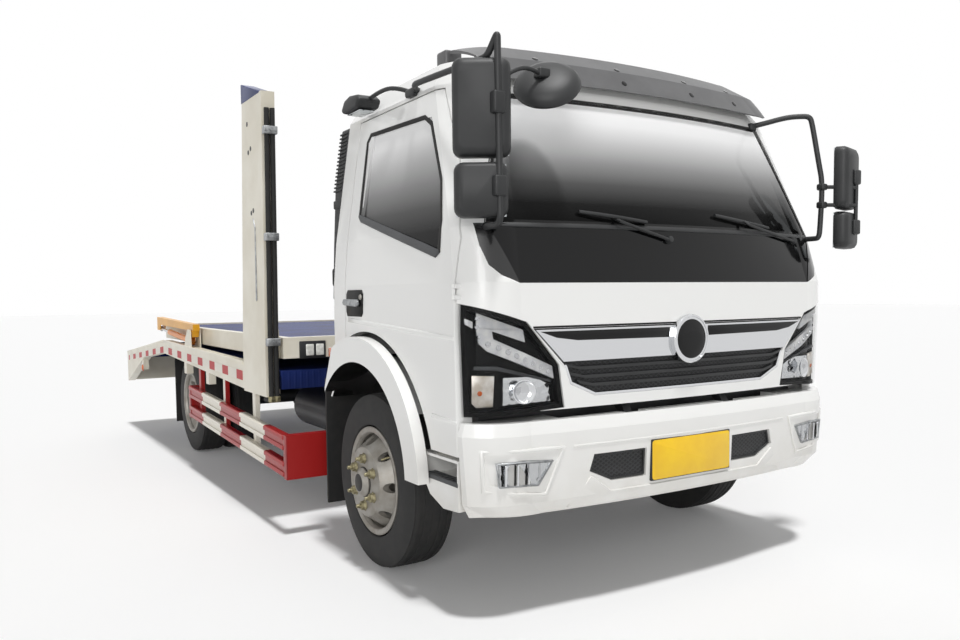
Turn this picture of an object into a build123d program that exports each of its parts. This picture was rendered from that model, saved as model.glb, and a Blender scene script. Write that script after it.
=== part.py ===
import os
from math import sqrt

from build123d import *

os.makedirs("parts", exist_ok=True)

# Whole truck, mm. In the tables x runs forward from the front axle, y is the distance
# from the middle plane and z the height over the ground.
front_overhang = 930
wheelbase = 3308
rear_overhang = 1757
truck_width = 2300
length = front_overhang + wheelbase + rear_overhang
axle_x = length / 2 - front_overhang
side_y = truck_width / 2
tail_x = -wheelbase - rear_overhang
rear_x = -wheelbase

# Wheels and axles
tyre_r = 388
tyre_half = 107
rim_r = 232
wheel_y = 885
twin_gap = 235
kingpin_y = 770
spindle_r = 30
rear_spindle_r = 45
bore_play = 0.3

# Ladder frame
rail_in = 290
rail_out = 355
rail_low = 500
rail_top = 690
rail_sheet = 8
rail_front = 700
rail_rear = rear_x - 940

# Decks
plate_y = 60
post_in = side_y - 70
post_sheet = 12
deck_front = -900
deck_half = side_y - 85
deck_low = 872
deck_top = 982
deck_rear = rear_x - 440
floor_drop = 20
floor_sheet = 30

# Cab
wall = 46
roof_split = 1985
back_split = -253
panel_low = 771
cab_floor_low = 830
cab_floor_top = 860
door_gap = 6
arch_x = -25
arch_z = 450
arch_in = 460
arch_out = 570

# Tilting hinge of the cab, behind the bumper
tilt_x = 862
tilt_z = 700
tilt_in = 256
tilt_pin = 9
hinge_foot = ((745, 530), (745, 600), (tilt_x - 8, tilt_z + 10), (tilt_x + 8, tilt_z - 12), (800, 560))
hinge_arm = (
    (760, 835),
    (800, 835),
    (832, 762),
    (tilt_x + 6, tilt_z + 10),
    (tilt_x - 8, tilt_z - 10),
    (784, 760),
)


def side_plane(y):
    return Plane(origin=(axle_x, -y, 0), x_dir=(1, 0, 0), z_dir=(0, -1, 0))


def front_plane(x):
    return Plane(origin=(axle_x + x, 0, 0), x_dir=(0, 1, 0), z_dir=(1, 0, 0))


def plan_plane(z):
    return Plane(origin=(axle_x, 0, z))


# A side outline (x, z) as a slab between two distances from the middle, on the right
def side_slab(points, inner, outer, mode=Mode.ADD, shrink=0):
    with BuildSketch(side_plane(inner)) as face:
        Polygon(*points, align=None)
        if shrink:
            offset(amount=-shrink, kind=Kind.INTERSECTION, mode=Mode.REPLACE)
    extrude(face.sketch, amount=outer - inner, mode=mode)


# A front outline (y, z) as a slab between two stations
def front_slab(points, back, front, mode=Mode.ADD, shrink=0):
    with BuildSketch(front_plane(back)) as face:
        Polygon(*points, align=None)
        if shrink:
            offset(amount=-shrink, kind=Kind.INTERSECTION, mode=Mode.REPLACE)
    extrude(face.sketch, amount=front - back, mode=mode)


# A plan outline (x, y) as a slab between two heights
def plan_slab(points, low, high, mode=Mode.ADD):
    with BuildSketch(plan_plane(low)) as face:
        Polygon(*points, align=None)
    extrude(face.sketch, amount=high - low, mode=mode)


# A box on the right between two stations, two distances from the middle and two heights
def block(back, front, inner, outer, low, high, mode=Mode.ADD):
    side_slab(((back, low), (front, low), (front, high), (back, high)), inner, outer, mode)


# A round bar across the truck, on the right
def cross_bar(x, z, radius, inner, outer, mode=Mode.ADD):
    with BuildSketch(side_plane(inner)) as face:
        with Locations((x, z)):
            Circle(radius)
    extrude(face.sketch, amount=outer - inner, mode=mode)


# An upright round bar
def upright(x, y, radius, low, high, mode=Mode.ADD):
    with BuildSketch(plan_plane(low)) as face:
        with Locations((x, -y)):
            Circle(radius)
    extrude(face.sketch, amount=high - low, mode=mode)


# A turned piece from an outline (radius, distance from the middle) about a wheel axis
def turned(points, x, z=tyre_r, mode=Mode.ADD):
    with BuildSketch(Plane(origin=(axle_x + x, 0, z))) as face:
        Polygon(*[(r, -y) for r, y in points], align=None)
    revolve(face.sketch, axis=Axis((axle_x + x, 0, z), (0, 1, 0)), mode=mode)


# A tube along straight runs with rounded bends
def tube(points, radius, mode=Mode.ADD):
    runs = [(axle_x + x, -y, z) for x, y, z in points]
    with BuildLine() as path:
        if len(runs) > 2:
            FilletPolyline(*runs, radius=radius * 2.2)
        else:
            Line(*runs)
    with BuildSketch(Plane(origin=path.line @ 0, z_dir=path.line % 0)) as ring:
        Circle(radius)
    sweep(ring.sketch, path=path.line, mode=mode)


def save(part, name):
    part.label = name
    export_step(part, f"parts/{name}.step")


# Rows of the bodies' plan outlines: height, nose, brow x and y, side x and y, rear x and y
def skin(rows, inset, open_low, open_rear):
    with BuildPart() as body:
        for row in rows:
            height, nose, brow_x, brow_y, edge_x, edge_y, back_x, back_y = row
            z = height
            if row is rows[0]:
                z = height - inset if open_low else height + inset
            if row is rows[-1]:
                z = height - inset
            brow = (brow_x - inset, brow_y - 0.4 * inset)
            edge = (edge_x - 0.4 * inset, edge_y - inset)
            rear = (back_x + (-40 if open_rear and inset > 0 else inset), back_y - inset)
            middle = ((brow[0] + edge[0]) / 2, (brow[1] + edge[1]) / 2)
            knee = (
                middle[0] + 0.35 * (brow[0] - middle[0]),
                middle[1] + 0.35 * (edge[1] - middle[1]),
            )
            with BuildSketch(plan_plane(z)):
                with BuildLine():
                    Line((rear[0], -rear[1]), (rear[0], rear[1]))
                    Line((rear[0], rear[1]), edge)
                    ThreePointArc(edge, knee, brow)
                    ThreePointArc(brow, (nose - inset, 0), (brow[0], -brow[1]))
                    ThreePointArc((brow[0], -brow[1]), (knee[0], -knee[1]), (edge[0], -edge[1]))
                    Line((edge[0], -edge[1]), (rear[0], -rear[1]))
                make_face()
        loft(ruled=True)
    return body.part


cab_rows = (
    (600, 885, 850, 800, 735, 992, -385, 985),
    (1070, 905, 868, 800, 742, 1002, -385, 990),
    (1240, 902, 866, 798, 738, 1000, -385, 988),
    (1440, 880, 812, 780, 690, 985, -385, 972),
    (2000, 655, 600, 690, 450, 900, -380, 890),
    (2105, 590, 540, 640, 380, 835, -365, 820),
    (2150, 470, 420, 520, 260, 690, -300, 680),
)


def cab_skin(inset):
    return skin(cab_rows, inset, True, False)


bumper_rows = (
    (390, 890, 852, 700, 790, 905, 762, 960),
    (440, 918, 876, 760, 785, 980, 759, 985),
    (690, 930, 886, 770, 782, 998, 757, 1000),
    (737, 915, 874, 765, 780, 985, 757, 988),
)

cab_outer = cab_skin(0)
cab_inner = cab_skin(wall)


# A layer of the cab's skin between two depths, cut by nothing yet
def layer(outside, inside):
    with BuildPart() as shell:
        add(cab_skin(outside))
        add(cab_skin(inside), mode=Mode.SUBTRACT)
    return shell.part


with BuildPart() as cab_shell:
    add(cab_outer)
    add(cab_inner, mode=Mode.SUBTRACT)

# Outlines on the cab: doors from the side, the rest from the front
door_front = 752
door_low = 605
door_outline = (
    (door_front, door_low),
    (door_front, 1180),
    (742, 1400),
    (672, 1640),
    (500, roof_split),
    (back_split, roof_split),
    (back_split, door_low),
)
window_outline = ((-100, 1905), (455, 1880), (595, 1630), (625, 1480), (610, 1345), (-115, 1525))
screen_low = 1452
screen_top = 1958
screen_outline = ((-890, screen_low), (890, screen_low), (735, screen_top), (-735, screen_top))
band_low = 1236
band_outline = ((-800, band_low), (800, band_low), (890, screen_low), (-890, screen_low))
grille_outline = (
    (-748, 1072),
    (-612, 935),
    (-585, 862),
    (-470, 812),
    (470, 812),
    (585, 862),
    (612, 935),
    (748, 1072),
)
bar_low = 946
bar_outline = ((-742, 1068), (-618, bar_low), (618, bar_low), (742, 1068))
lamp_back = 757
lamp_outline = ((606, 776), (1015, 756), (1015, 1172), (772, 1097), (634, 938))
lamp_mirror = tuple((-y, z) for y, z in lamp_outline)

# Frame
with BuildPart() as frame:
    block(rail_rear, rail_front, rail_in, rail_out, rail_low, rail_top)
    block(
        rail_rear,
        rail_front,
        rail_in,
        rail_out - rail_sheet,
        rail_low + rail_sheet,
        rail_top - rail_sheet,
        Mode.SUBTRACT,
    )
    for member_x, low, high in (
        (640, 560, 640),
        (-880, 506, 546),
        (-1500, 600, 660),
        (rear_x + 760, 560, 640),
        (rail_rear + 60, 560, 640),
    ):
        block(member_x - 30, member_x + 30, 0, rail_out - rail_sheet, low, high)
    block(rail_front, rail_front + 45, 0, 880, 520, 600)
    block(-330, -260, rail_in + 5, rail_out, rail_top, cab_floor_low)
    side_slab(hinge_foot, tilt_in - 24, tilt_in - 6)
    cross_bar(tilt_x, tilt_z, 14, tilt_in - 24, tilt_in - 6)
    cross_bar(tilt_x, tilt_z, tilt_pin, tilt_in - 24, tilt_in + 46)
    mirror(about=Plane.XZ)
save(frame.part, "frame")

engine_front = 520
engine_rear = -300
shaft_front = (axle_x - 800, 0, 600)
pinion_end = rear_x + 230
shaft_rear = (axle_x + pinion_end + 3.8, 0, tyre_r + 20)
with BuildPart() as driveline:
    block(engine_rear, engine_front, 0, 270, 470, 1000)
    block(-800, engine_rear, 0, 165, 490, 740)
    block(60, 160, 270, 346, rail_low + rail_sheet, 570)
    mirror(about=Plane.XZ)
    with BuildLine() as shaft_line:
        Line(shaft_front, shaft_rear)
    with BuildSketch(Plane(origin=shaft_front, z_dir=shaft_line.line % 0)) as shaft_ring:
        Circle(42)
    sweep(shaft_ring.sketch, path=shaft_line.line)
save(driveline.part, "driveline")


# A leaf pack on the right, seated at the axle and hung from the rail at both ends
def leaf_pack(x, seat_z, reach, end_z, thick, inner, outer):
    with BuildSketch(side_plane(inner)) as face:
        with BuildLine():
            ThreePointArc((x - reach, end_z), (x, seat_z), (x + reach, end_z))
            Line((x + reach, end_z), (x + reach, end_z + thick * 0.5))
            ThreePointArc(
                (x + reach, end_z + thick * 0.5),
                (x, seat_z + thick),
                (x - reach, end_z + thick * 0.5),
            )
            Line((x - reach, end_z + thick * 0.5), (x - reach, end_z))
        make_face()
    extrude(face.sketch, amount=outer - inner)
    for end in (-1, 1):
        eye_x = x + end * reach
        block(eye_x - 45, eye_x + 45, rail_out, outer, end_z - 20, end_z + 60)


eye_r = 40
eye_half = 40
arm_play = 6
with BuildPart() as front_axle:
    block(-35, 35, 0, kingpin_y - 5, tyre_r - eye_half, tyre_r + eye_half)
    upright(0, kingpin_y, eye_r, tyre_r - eye_half, tyre_r + eye_half)
    leaf_pack(0, tyre_r + eye_half - 2, 540, 545, 44, rail_out + 30, rail_out + 100)
    upright(0, kingpin_y, 18 + bore_play, 300, 480, Mode.SUBTRACT)
    mirror(about=Plane.XZ)
save(front_axle.part, "front_axle")

axle_tube = 60
hub_in = wheel_y - twin_gap - 60
with BuildPart() as rear_axle:
    cross_bar(rear_x, tyre_r, axle_tube, 0, hub_in - 10)
    cross_bar(rear_x, tyre_r, rear_spindle_r, hub_in - 10, hub_in + 310)
    leaf_pack(rear_x, tyre_r + axle_tube - 4, 620, 600, 60, rail_out + 30, rail_out + 105)
    mirror(about=Plane.XZ)
    with Locations((axle_x + rear_x, 0, tyre_r)):
        Sphere(170)
    with BuildSketch(front_plane(rear_x + 100)) as pinion_face:
        with Locations((0, tyre_r + 20)):
            Circle(62)
    extrude(pinion_face.sketch, amount=pinion_end - rear_x - 100)
save(rear_axle.part, "rear_axle")

for side_name in ("right", "left"):
    with BuildPart() as knuckle:
        upright(0, kingpin_y, 18, 316, 460)
        block(-40, 40, kingpin_y - 36, kingpin_y + 72, 316, tyre_r - eye_half - arm_play)
        block(-40, 40, kingpin_y - 36, kingpin_y + 72, tyre_r + eye_half + arm_play, 460)
        block(-40, 40, kingpin_y + 48, kingpin_y + 72, 316, 460)
        cross_bar(0, tyre_r, spindle_r, kingpin_y + 72, wheel_y + 110)
        if side_name == "left":
            mirror(about=Plane.XZ, mode=Mode.REPLACE)
    save(knuckle.part, f"knuckle_{side_name}")

# Wheels: outlines in radius and distance from the wheel's own middle plane, outward
tyre_outline = (
    (rim_r, -96),
    (345, -tyre_half),
    (tyre_r, -82),
    (tyre_r, 82),
    (345, tyre_half),
    (rim_r, 96),
)
barrel_outline = (
    (rim_r - 2, -98),
    (rim_r - 2, -90),
    (rim_r, -90),
    (rim_r, 90),
    (rim_r - 2, 90),
    (rim_r - 2, 98),
    (rim_r - 20, 98),
    (rim_r - 20, -98),
)
front_disc = ((rim_r - 20, 20), (rim_r - 20, 48), (150, 138), (60, 142), (60, 128), (140, 124))
rear_disc = ((rim_r - 20, 78), (rim_r - 20, 50), (150, -4), (60, -4), (60, 10), (142, 10))
hub_outline = ((0, -32), (78, -32), (78, 122), (62, 128), (62, 150), (44, 168), (0, 168))
twin_hub = ((0, -60), (120, -60), (120, 232), (80, 236), (80, 270), (0, 270))
hand_holes = 8
hand_hole_r = 21
hand_hole_at = 178


def shifted(points, centre):
    return [(r, centre + w) for r, w in points]


def wheel_parts(x, centres, discs, hub, hub_at, bore_end, spindle, name, side_name):
    with BuildPart() as rims:
        for centre, disc in zip(centres, discs):
            turned(shifted(barrel_outline, centre), x)
            turned(shifted(disc, centre), x)
        turned(shifted(hub, hub_at), x)
        with BuildSketch(side_plane(0)) as hole_faces:
            with Locations((x, tyre_r)):
                with PolarLocations(hand_hole_at, hand_holes):
                    Circle(hand_hole_r)
        extrude(hole_faces.sketch, amount=side_y, mode=Mode.SUBTRACT)
        cross_bar(x, tyre_r, spindle + bore_play, hub_at - 80, bore_end, Mode.SUBTRACT)
        if side_name == "left":
            mirror(about=Plane.XZ, mode=Mode.REPLACE)
    save(rims.part, f"rim_{name}_{side_name}")
    with BuildPart() as tyres:
        for centre in centres:
            turned(shifted(tyre_outline, centre), x)
        if side_name == "left":
            mirror(about=Plane.XZ, mode=Mode.REPLACE)
    save(tyres.part, f"tyre_{name}_{side_name}")


for side_name in ("right", "left"):
    wheel_parts(
        0,
        (wheel_y,),
        (front_disc,),
        hub_outline,
        wheel_y,
        wheel_y + 116,
        spindle_r,
        "front",
        side_name,
    )
    twin_discs = (rear_disc, tuple((r, -w) for r, w in rear_disc))
    twin_centres = (wheel_y, wheel_y - twin_gap)
    wheel_parts(
        rear_x,
        twin_centres,
        twin_discs,
        twin_hub,
        hub_in + 60,
        hub_in + 316,
        rear_spindle_r,
        "rear",
        side_name,
    )

# Tanks hung on the frame: air on the right, fuel on the left
with BuildPart() as tanks:
    with BuildSketch(front_plane(-1600)) as air_face:
        with Locations((-640, 527)):
            Circle(125)
    extrude(air_face.sketch, amount=600)
    for strap_x in (-1500, -1100):
        block(strap_x - 25, strap_x + 25, rail_out, 540, 500, 560)
    plan_slab(((-1650, 470), (-950, 470), (-950, 900), (-1650, 900)), 360, 640)
    for strap_x in (-1500, -1100):
        plan_slab(
            (
                (strap_x - 25, rail_out),
                (strap_x + 25, rail_out),
                (strap_x + 25, 475),
                (strap_x - 25, 475),
            ),
            540,
            620,
        )
save(tanks.part, "tanks")

# Bumper with its lamp pockets
fog_y = 842
fog_z = 565
mesh_in = 242
mesh_out = 515
mesh_deep = 18
with BuildPart() as mesh_pockets:
    add(skin(bumper_rows, -1, False, True))
    add(skin(bumper_rows, mesh_deep, False, True), mode=Mode.SUBTRACT)
    with BuildSketch(front_plane(800)) as mesh_faces:
        for mesh_side in (-1, 1):
            Polygon(
                (mesh_side * mesh_in, 485),
                (mesh_side * (mesh_out - 105), 485),
                (mesh_side * mesh_out, 531),
                (mesh_side * (mesh_out - 20), 595),
                (mesh_side * mesh_in, 595),
                align=None,
            )
    extrude(mesh_faces.sketch, amount=200, mode=Mode.INTERSECT)

with BuildPart() as bumper:
    add(skin(bumper_rows, 0, False, True))
    add(skin(bumper_rows, 28, False, True), mode=Mode.SUBTRACT)
    for fog_side in (-1, 1):
        front_slab(
            (
                (fog_side * (fog_y - 90), fog_z - 58),
                (fog_side * (fog_y + 78), fog_z - 48),
                (fog_side * (fog_y + 100), fog_z + 62),
                (fog_side * (fog_y - 40), fog_z + 62),
            ),
            760,
            960,
            Mode.SUBTRACT,
        )
    block(rail_front + 45, 900, 180, 230, 530, 590)
    mirror(about=Plane.XZ)
    block(700, 852, -620, 620, 700, 760, Mode.SUBTRACT)
    for arm_side in (-1, 1):
        front_slab(
            (
                (arm_side * (tilt_in - 34), 690),
                (arm_side * (tilt_in + 70), 690),
                (arm_side * (tilt_in + 70), 760),
                (arm_side * (tilt_in - 34), 760),
            ),
            800,
            894,
            Mode.SUBTRACT,
        )
    add(mesh_pockets.part, mode=Mode.SUBTRACT)
save(bumper.part, "bumper")

with BuildPart() as fog_lamps:
    block(775, 800, fog_y - 85, fog_y + 20, fog_z - 50, fog_z + 50)
    block(rail_front + 45, 775, fog_y - 85, fog_y + 20, 540, 590)
    mirror(about=Plane.XZ)
save(fog_lamps.part, "fog_lamps")

# Steps beside the bumper
step_rear = 472
step_out = 996
with BuildPart() as steps:
    side_slab(
        (
            (step_rear, 598),
            (750, 598),
            (750, 412),
            (640, 404),
            (540, 440),
            (step_rear + 12, 500),
        ),
        945,
        step_out,
    )
    block(step_rear + 22, 742, 930, 1020, 512, 588, Mode.SUBTRACT)
    block(step_rear + 14, 742, 790, step_out - 3, 490, 511)
    block(step_rear + 8, step_rear + 22, 790, step_out - 4, 490, 597)
    block(rail_front - 60, rail_front, 790, 960, 430, 490)
    block(rail_front - 60, rail_front, 790, 880, 490, 600)
    mirror(about=Plane.XZ)
save(steps.part, "steps")

# Mud flaps behind the wheels, on arms from the frame
flap_x = -482
rear_flap_x = rear_x - 450
with BuildPart() as mudflaps:
    block(flap_x - 14, flap_x, 690, 1000, 190, 800)
    block(flap_x - 40, flap_x - 14, rail_out, 760, 620, 670)
    block(rear_flap_x - 14, rear_flap_x, 545, 1000, 180, 700)
    block(rear_flap_x - 40, rear_flap_x - 14, rail_out, 760, 600, 650)
    mirror(about=Plane.XZ)
save(mudflaps.part, "mudflaps")

# Lower deck: rails along the sides, floor between them, sills on the frame
post_rear = -1326
apex_x = rear_x - 122
kink_x = rear_x - 946
rail_front_top = 829
apex_top = 868
tail_top = 695
rail_outline = (
    (post_rear, 684),
    (post_rear, rail_front_top + 3),
    (apex_x, apex_top),
    (tail_x, tail_top),
    (tail_x, 418),
    (kink_x, 687),
    (apex_x - 30, 769),
)


# Height of the rail's lower edge
def rail_bottom(x):
    if x > apex_x - 30:
        return 684 + (post_rear - x) * (769 - 684) / (post_rear - apex_x + 30)
    if x > kink_x:
        return 769 - (apex_x - 30 - x) * (769 - 687) / (apex_x - 30 - kink_x)
    return 687 - (kink_x - x) * (687 - 418) / (kink_x - tail_x)


pivot_x = rear_x + 708
pivot_z = 945
heel_x = pivot_x - 80
heel_z = 893
arm_in = side_y - 58
arm_out = side_y - 12
ear_top = 975
pin_r = 16
ear_outline = (
    (heel_x - 60, 853),
    (pivot_x + 50, 846),
    (pivot_x + 38, ear_top),
    (pivot_x - 38, ear_top),
    (heel_x - 30, 915),
)
with BuildPart() as lower_rails:
    side_slab(rail_outline, side_y - plate_y, side_y)
    block(tail_x, tail_x + 60, 0, side_y - plate_y, 430, 660)
    for cheek in ((arm_in - 12, arm_in - 6), (arm_out + 6, side_y)):
        side_slab(ear_outline, cheek[0], cheek[1])
    cross_bar(pivot_x, pivot_z, pin_r, arm_in - 12, side_y)
    cross_bar(heel_x, heel_z, pin_r, arm_in - 12, side_y)
    mirror(about=Plane.XZ)
save(lower_rails.part, "lower_rails")

floor_front_top = rail_front_top - floor_drop
floor_apex_top = apex_top - floor_drop
floor_tail_top = tail_top - floor_drop
floor_outline = (
    (deck_front, floor_front_top - floor_sheet),
    (deck_front, floor_front_top),
    (apex_x, floor_apex_top),
    (tail_x + 60, floor_tail_top + 6),
    (tail_x + 60, floor_tail_top + 6 - floor_sheet),
    (apex_x, floor_apex_top - floor_sheet),
)
sill_outline = (
    (deck_front, rail_top),
    (deck_front, floor_front_top - floor_sheet + 2),
    (apex_x, floor_apex_top - floor_sheet + 2),
    (rail_rear, 741),
    (rail_rear, rail_top),
)
with BuildPart() as lower_floor:
    side_slab(floor_outline, 0, side_y - plate_y)
    side_slab(sill_outline, rail_in, rail_out)
    block(deck_front - 60, deck_front, 0, post_in - 4, 712, floor_front_top - 10)
    block(post_rear - 60, post_rear, rail_out, post_in - 4, 700, floor_front_top - 20)
    for beam_x in (-1900, -2500):
        block(beam_x - 40, beam_x + 40, rail_out, side_y - plate_y, 730, floor_front_top - 8)
    block(rail_rear + 20, rail_rear + 80, rail_out, side_y - plate_y, 690, 745)
    block(post_rear, deck_front + 5, post_in - 0.3, side_y, 600, 900, Mode.SUBTRACT)
    mirror(about=Plane.XZ)
save(lower_floor.part, "lower_floor")

# Posts: channels open toward the middle, with a sloping cap and a stop for the deck
carriage_front = -962
carriage_rear = -1190
post_top = 2237
cap_top = 2330
post_outline = (
    (-893, post_top),
    (-935, 850),
    (-935, 673),
    (post_rear, 673),
    (post_rear, 930),
    (-1225, post_top),
)
hollow = (
    (-893 - post_sheet, post_top - post_sheet),
    (-935 - post_sheet, 850),
    (-935 - post_sheet, 673 + post_sheet),
    (post_rear + post_sheet, 673 + post_sheet),
    (post_rear + post_sheet, 930),
    (-1225 + post_sheet, post_top - post_sheet),
)
with BuildPart() as posts:
    side_slab(post_outline, post_in, side_y)
    side_slab(hollow, post_in, side_y - post_sheet, Mode.SUBTRACT)
    block(-1290, -1040, post_in - 40, post_in, 673, 700)
    block(carriage_rear, carriage_front, post_in + 10, side_y - post_sheet, deck_low - 40, deck_low)
    side_slab(((-1225, post_top), (-930, post_top), (-1225, cap_top)), post_in, side_y)
    mirror(about=Plane.XZ)
save(posts.part, "posts")

# Hydraulic hoses clipped to the front of each post
hose_r = 13
hose_top = post_top - 87
lean = (935 - 893) / (post_top - 850)
with BuildPart() as post_hoses:
    for hose_y in (post_in + 18, post_in + 48):
        tube(
            (
                (-1010, hose_y, 655),
                (-935 + hose_r + 4, hose_y, 655),
                (-935 + hose_r + 4, hose_y, 850),
                (-935 + (hose_top - 850) * lean + hose_r + 2.4, hose_y, hose_top),
            ),
            hose_r,
        )
    for share in (0.08, 0.47, 0.857):
        clamp_z = 850 + share * (post_top - 850)
        clamp_low = -935 + (clamp_z - 18 - 850) * lean
        clamp_high = -935 + (clamp_z + 18 - 850) * lean
        side_slab(
            (
                (clamp_low, clamp_z - 18),
                (clamp_low + 36, clamp_z - 18),
                (clamp_high + 36, clamp_z + 18),
                (clamp_high, clamp_z + 18),
            ),
            post_in,
            side_y - 4,
        )
    mirror(about=Plane.XZ)
save(post_hoses.part, "post_hoses")

# Side guards: two rails between end posts on hangers from the deck rails
guard_front = -640
guard_rear = -2630
guard_rise = 75 / (guard_front - guard_rear)


def guard_bar(low, high, back, front, inner, outer):
    lift_back = (guard_front - back) * guard_rise
    lift_front = (guard_front - front) * guard_rise
    side_slab(
        (
            (back, low + lift_back),
            (front, low + lift_front),
            (front, high + lift_front),
            (back, high + lift_back),
        ),
        inner,
        outer,
    )


with BuildPart() as side_guards:
    for low, high in ((296, 376), (430, 510)):
        guard_bar(low, high, guard_rear, guard_front, side_y - 30, side_y)
    guard_bar(290, 512, guard_front - 40, guard_front, side_y - 220, side_y)
    guard_bar(290, 512, guard_rear, guard_rear + 40, side_y - 90, side_y)
    for hanger_x, top in (
        (-1250, 673),
        (-1850, rail_bottom(-1825)),
        (-2450, rail_bottom(-2425)),
    ):
        guard_bar(300, 510, hanger_x - 25, hanger_x + 25, side_y - 55, side_y - 30)
        block(hanger_x - 25, hanger_x + 25, side_y - 55, side_y - 30, 500, top)
    mirror(about=Plane.XZ)
save(side_guards.part, "side_guards")

with BuildPart() as deck_lamps:
    for lamp_x in (-2150, -2750, -4350):
        side_slab(
            (
                (lamp_x - 35, rail_bottom(lamp_x - 35)),
                (lamp_x - 35, rail_bottom(lamp_x) - 80),
                (lamp_x + 35, rail_bottom(lamp_x) - 80),
                (lamp_x + 35, rail_bottom(lamp_x + 35)),
            ),
            side_y - 50,
            side_y - 5,
        )
    mirror(about=Plane.XZ)
save(deck_lamps.part, "deck_lamps")

# Upper deck with the carriages that run in the posts
deck_beam = 55
with BuildPart() as upper_frame:
    block(deck_rear, deck_front, deck_half - deck_beam, deck_half, deck_low, deck_top)
    block(deck_front - 55, deck_front, 0, deck_half, deck_low, deck_top)
    block(deck_rear, deck_rear + 55, 0, deck_half, deck_low, deck_top)
    for beam_x in (-1500, -2100, -2700, -3300):
        block(beam_x - 25, beam_x + 25, 0, deck_half, deck_low + 10, deck_top - 40)
    block(carriage_rear, carriage_front, deck_half, side_y - post_sheet - 8, deck_low, deck_top + 40)
    mirror(about=Plane.XZ)
save(upper_frame.part, "upper_frame")

with BuildPart() as upper_floor:
    block(
        deck_rear + 55,
        deck_front - 55,
        0,
        deck_half - deck_beam,
        deck_top - 40,
        deck_top - 12,
    )
    mirror(about=Plane.XZ)
save(upper_floor.part, "upper_floor")

# Swing arms and their cylinders
tip_x = rear_x - 400
rod_eye_x = tip_x + 48
rod_eye_z = 950
barrel_end = 0.68
span = sqrt((rod_eye_x - heel_x) ** 2 + (rod_eye_z - heel_z) ** 2)
barrel_dir = ((rod_eye_x - heel_x) / span, (rod_eye_z - heel_z) / span)
arm_outline = (
    (pivot_x + 70, 968),
    (pivot_x + 70, 1012),
    (tip_x, 1042),
    (tip_x, 984),
)


def along(reach):
    return (
        axle_x + heel_x + barrel_dir[0] * reach,
        -(arm_in + arm_out) / 2,
        heel_z + barrel_dir[1] * reach,
    )


def round_run(start, end, radius):
    with BuildLine() as run:
        Line(along(start), along(end))
    with BuildSketch(Plane(origin=along(start), z_dir=run.line % 0)) as ring:
        Circle(radius)
    return sweep(ring.sketch, path=run.line)


for side_name in ("right", "left"):
    with BuildPart() as arm:
        side_slab(arm_outline, arm_in, arm_out)
        side_slab(
            (
                (pivot_x - 45, pivot_z - 22),
                (pivot_x + 34, pivot_z - 22),
                (pivot_x + 60, 975),
                (pivot_x - 90, 975),
            ),
            arm_in,
            arm_out,
        )
        for lug in ((arm_in, arm_in + 8), (arm_out - 8, arm_out)):
            side_slab(
                ((tip_x, 985), (tip_x, 940), (tip_x + 80, 940), (tip_x + 100, 985)),
                lug[0],
                lug[1],
            )
        cross_bar(pivot_x, pivot_z, pin_r + bore_play, arm_in, arm_out, Mode.SUBTRACT)
        if side_name == "left":
            mirror(about=Plane.XZ, mode=Mode.REPLACE)
    save(arm.part, f"swing_arm_{side_name}")
    with BuildPart() as barrel:
        round_run(20, span * barrel_end, 22)
        cross_bar(heel_x, heel_z, 30, arm_in + 2, arm_out - 2)
        cross_bar(heel_x, heel_z, pin_r + bore_play, arm_in, arm_out, Mode.SUBTRACT)
        rod_hole = round_run(span * 0.12, span * barrel_end + 5, 12 + bore_play)
        add(rod_hole, mode=Mode.SUBTRACT)
        if side_name == "left":
            mirror(about=Plane.XZ, mode=Mode.REPLACE)
    save(barrel.part, f"cylinder_{side_name}")
    with BuildPart() as rod:
        round_run(span * 0.14, span - 10, 12)
        cross_bar(rod_eye_x, rod_eye_z, 20, arm_in + 14, arm_out - 14)
        if side_name == "left":
            mirror(about=Plane.XZ, mode=Mode.REPLACE)
    save(rod.part, f"cylinder_rod_{side_name}")

# Cab floor with the engine tunnel
tunnel_front = 560
tunnel_half = 330
tunnel_top = 1080
cab_back_in = cab_rows[0][6] + wall
with BuildPart() as cab_floor:
    plan_slab(
        (
            (cab_back_in, 0),
            (800, 0),
            (800, -760),
            (742, -900),
            (490, -925),
            (490, -800),
            (cab_back_in, -800),
        ),
        cab_floor_low,
        cab_floor_top,
    )
    block(cab_back_in, tunnel_front, 0, tunnel_half, cab_floor_low, tunnel_top)
    block(cab_back_in - 10, tunnel_front - 30, 0, tunnel_half - 30, 800, tunnel_top - 30, Mode.SUBTRACT)
    side_slab(hinge_arm, tilt_in, tilt_in + 40)
    cross_bar(tilt_x, tilt_z, 14, tilt_in, tilt_in + 40)
    cross_bar(tilt_x, tilt_z, tilt_pin + bore_play, tilt_in - 30, tilt_in + 60, Mode.SUBTRACT)
    mirror(about=Plane.XZ)
save(cab_floor.part, "cab_floor")

# Door hinges: outside the skin, over the lamps
hinge_x = 752
hinge_y = 1008
hinge_r = 8
door_knuckle = (1196, 1218)
cab_knuckles = ((1180, 1195), (1219, 1234))


def hinge_block(back, front, inner, outer, sign, low, high):
    if sign == 1:
        block(back, front, inner, outer, low, high)
    else:
        block(back, front, -outer, -inner, low, high)


def hinge_pin(radius, sign, low, high, mode=Mode.ADD):
    upright(hinge_x, sign * hinge_y, radius, low, high, mode)


# Cab panels, all cut from one skin
with BuildPart() as cab_back:
    add(cab_shell.part)
    block(-500, back_split, -1100, 1100, 790, roof_split, Mode.INTERSECT)
    front_slab(((-600, 1480), (600, 1480), (560, 1880), (-560, 1880)), -500, -300, Mode.SUBTRACT)
    with BuildSketch(side_plane(-1100)) as arch_face:
        with Locations((arch_x, arch_z)):
            Circle(arch_out + 14)
    extrude(arch_face.sketch, amount=2200, mode=Mode.SUBTRACT)
save(cab_back.part, "cab_back")

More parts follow.
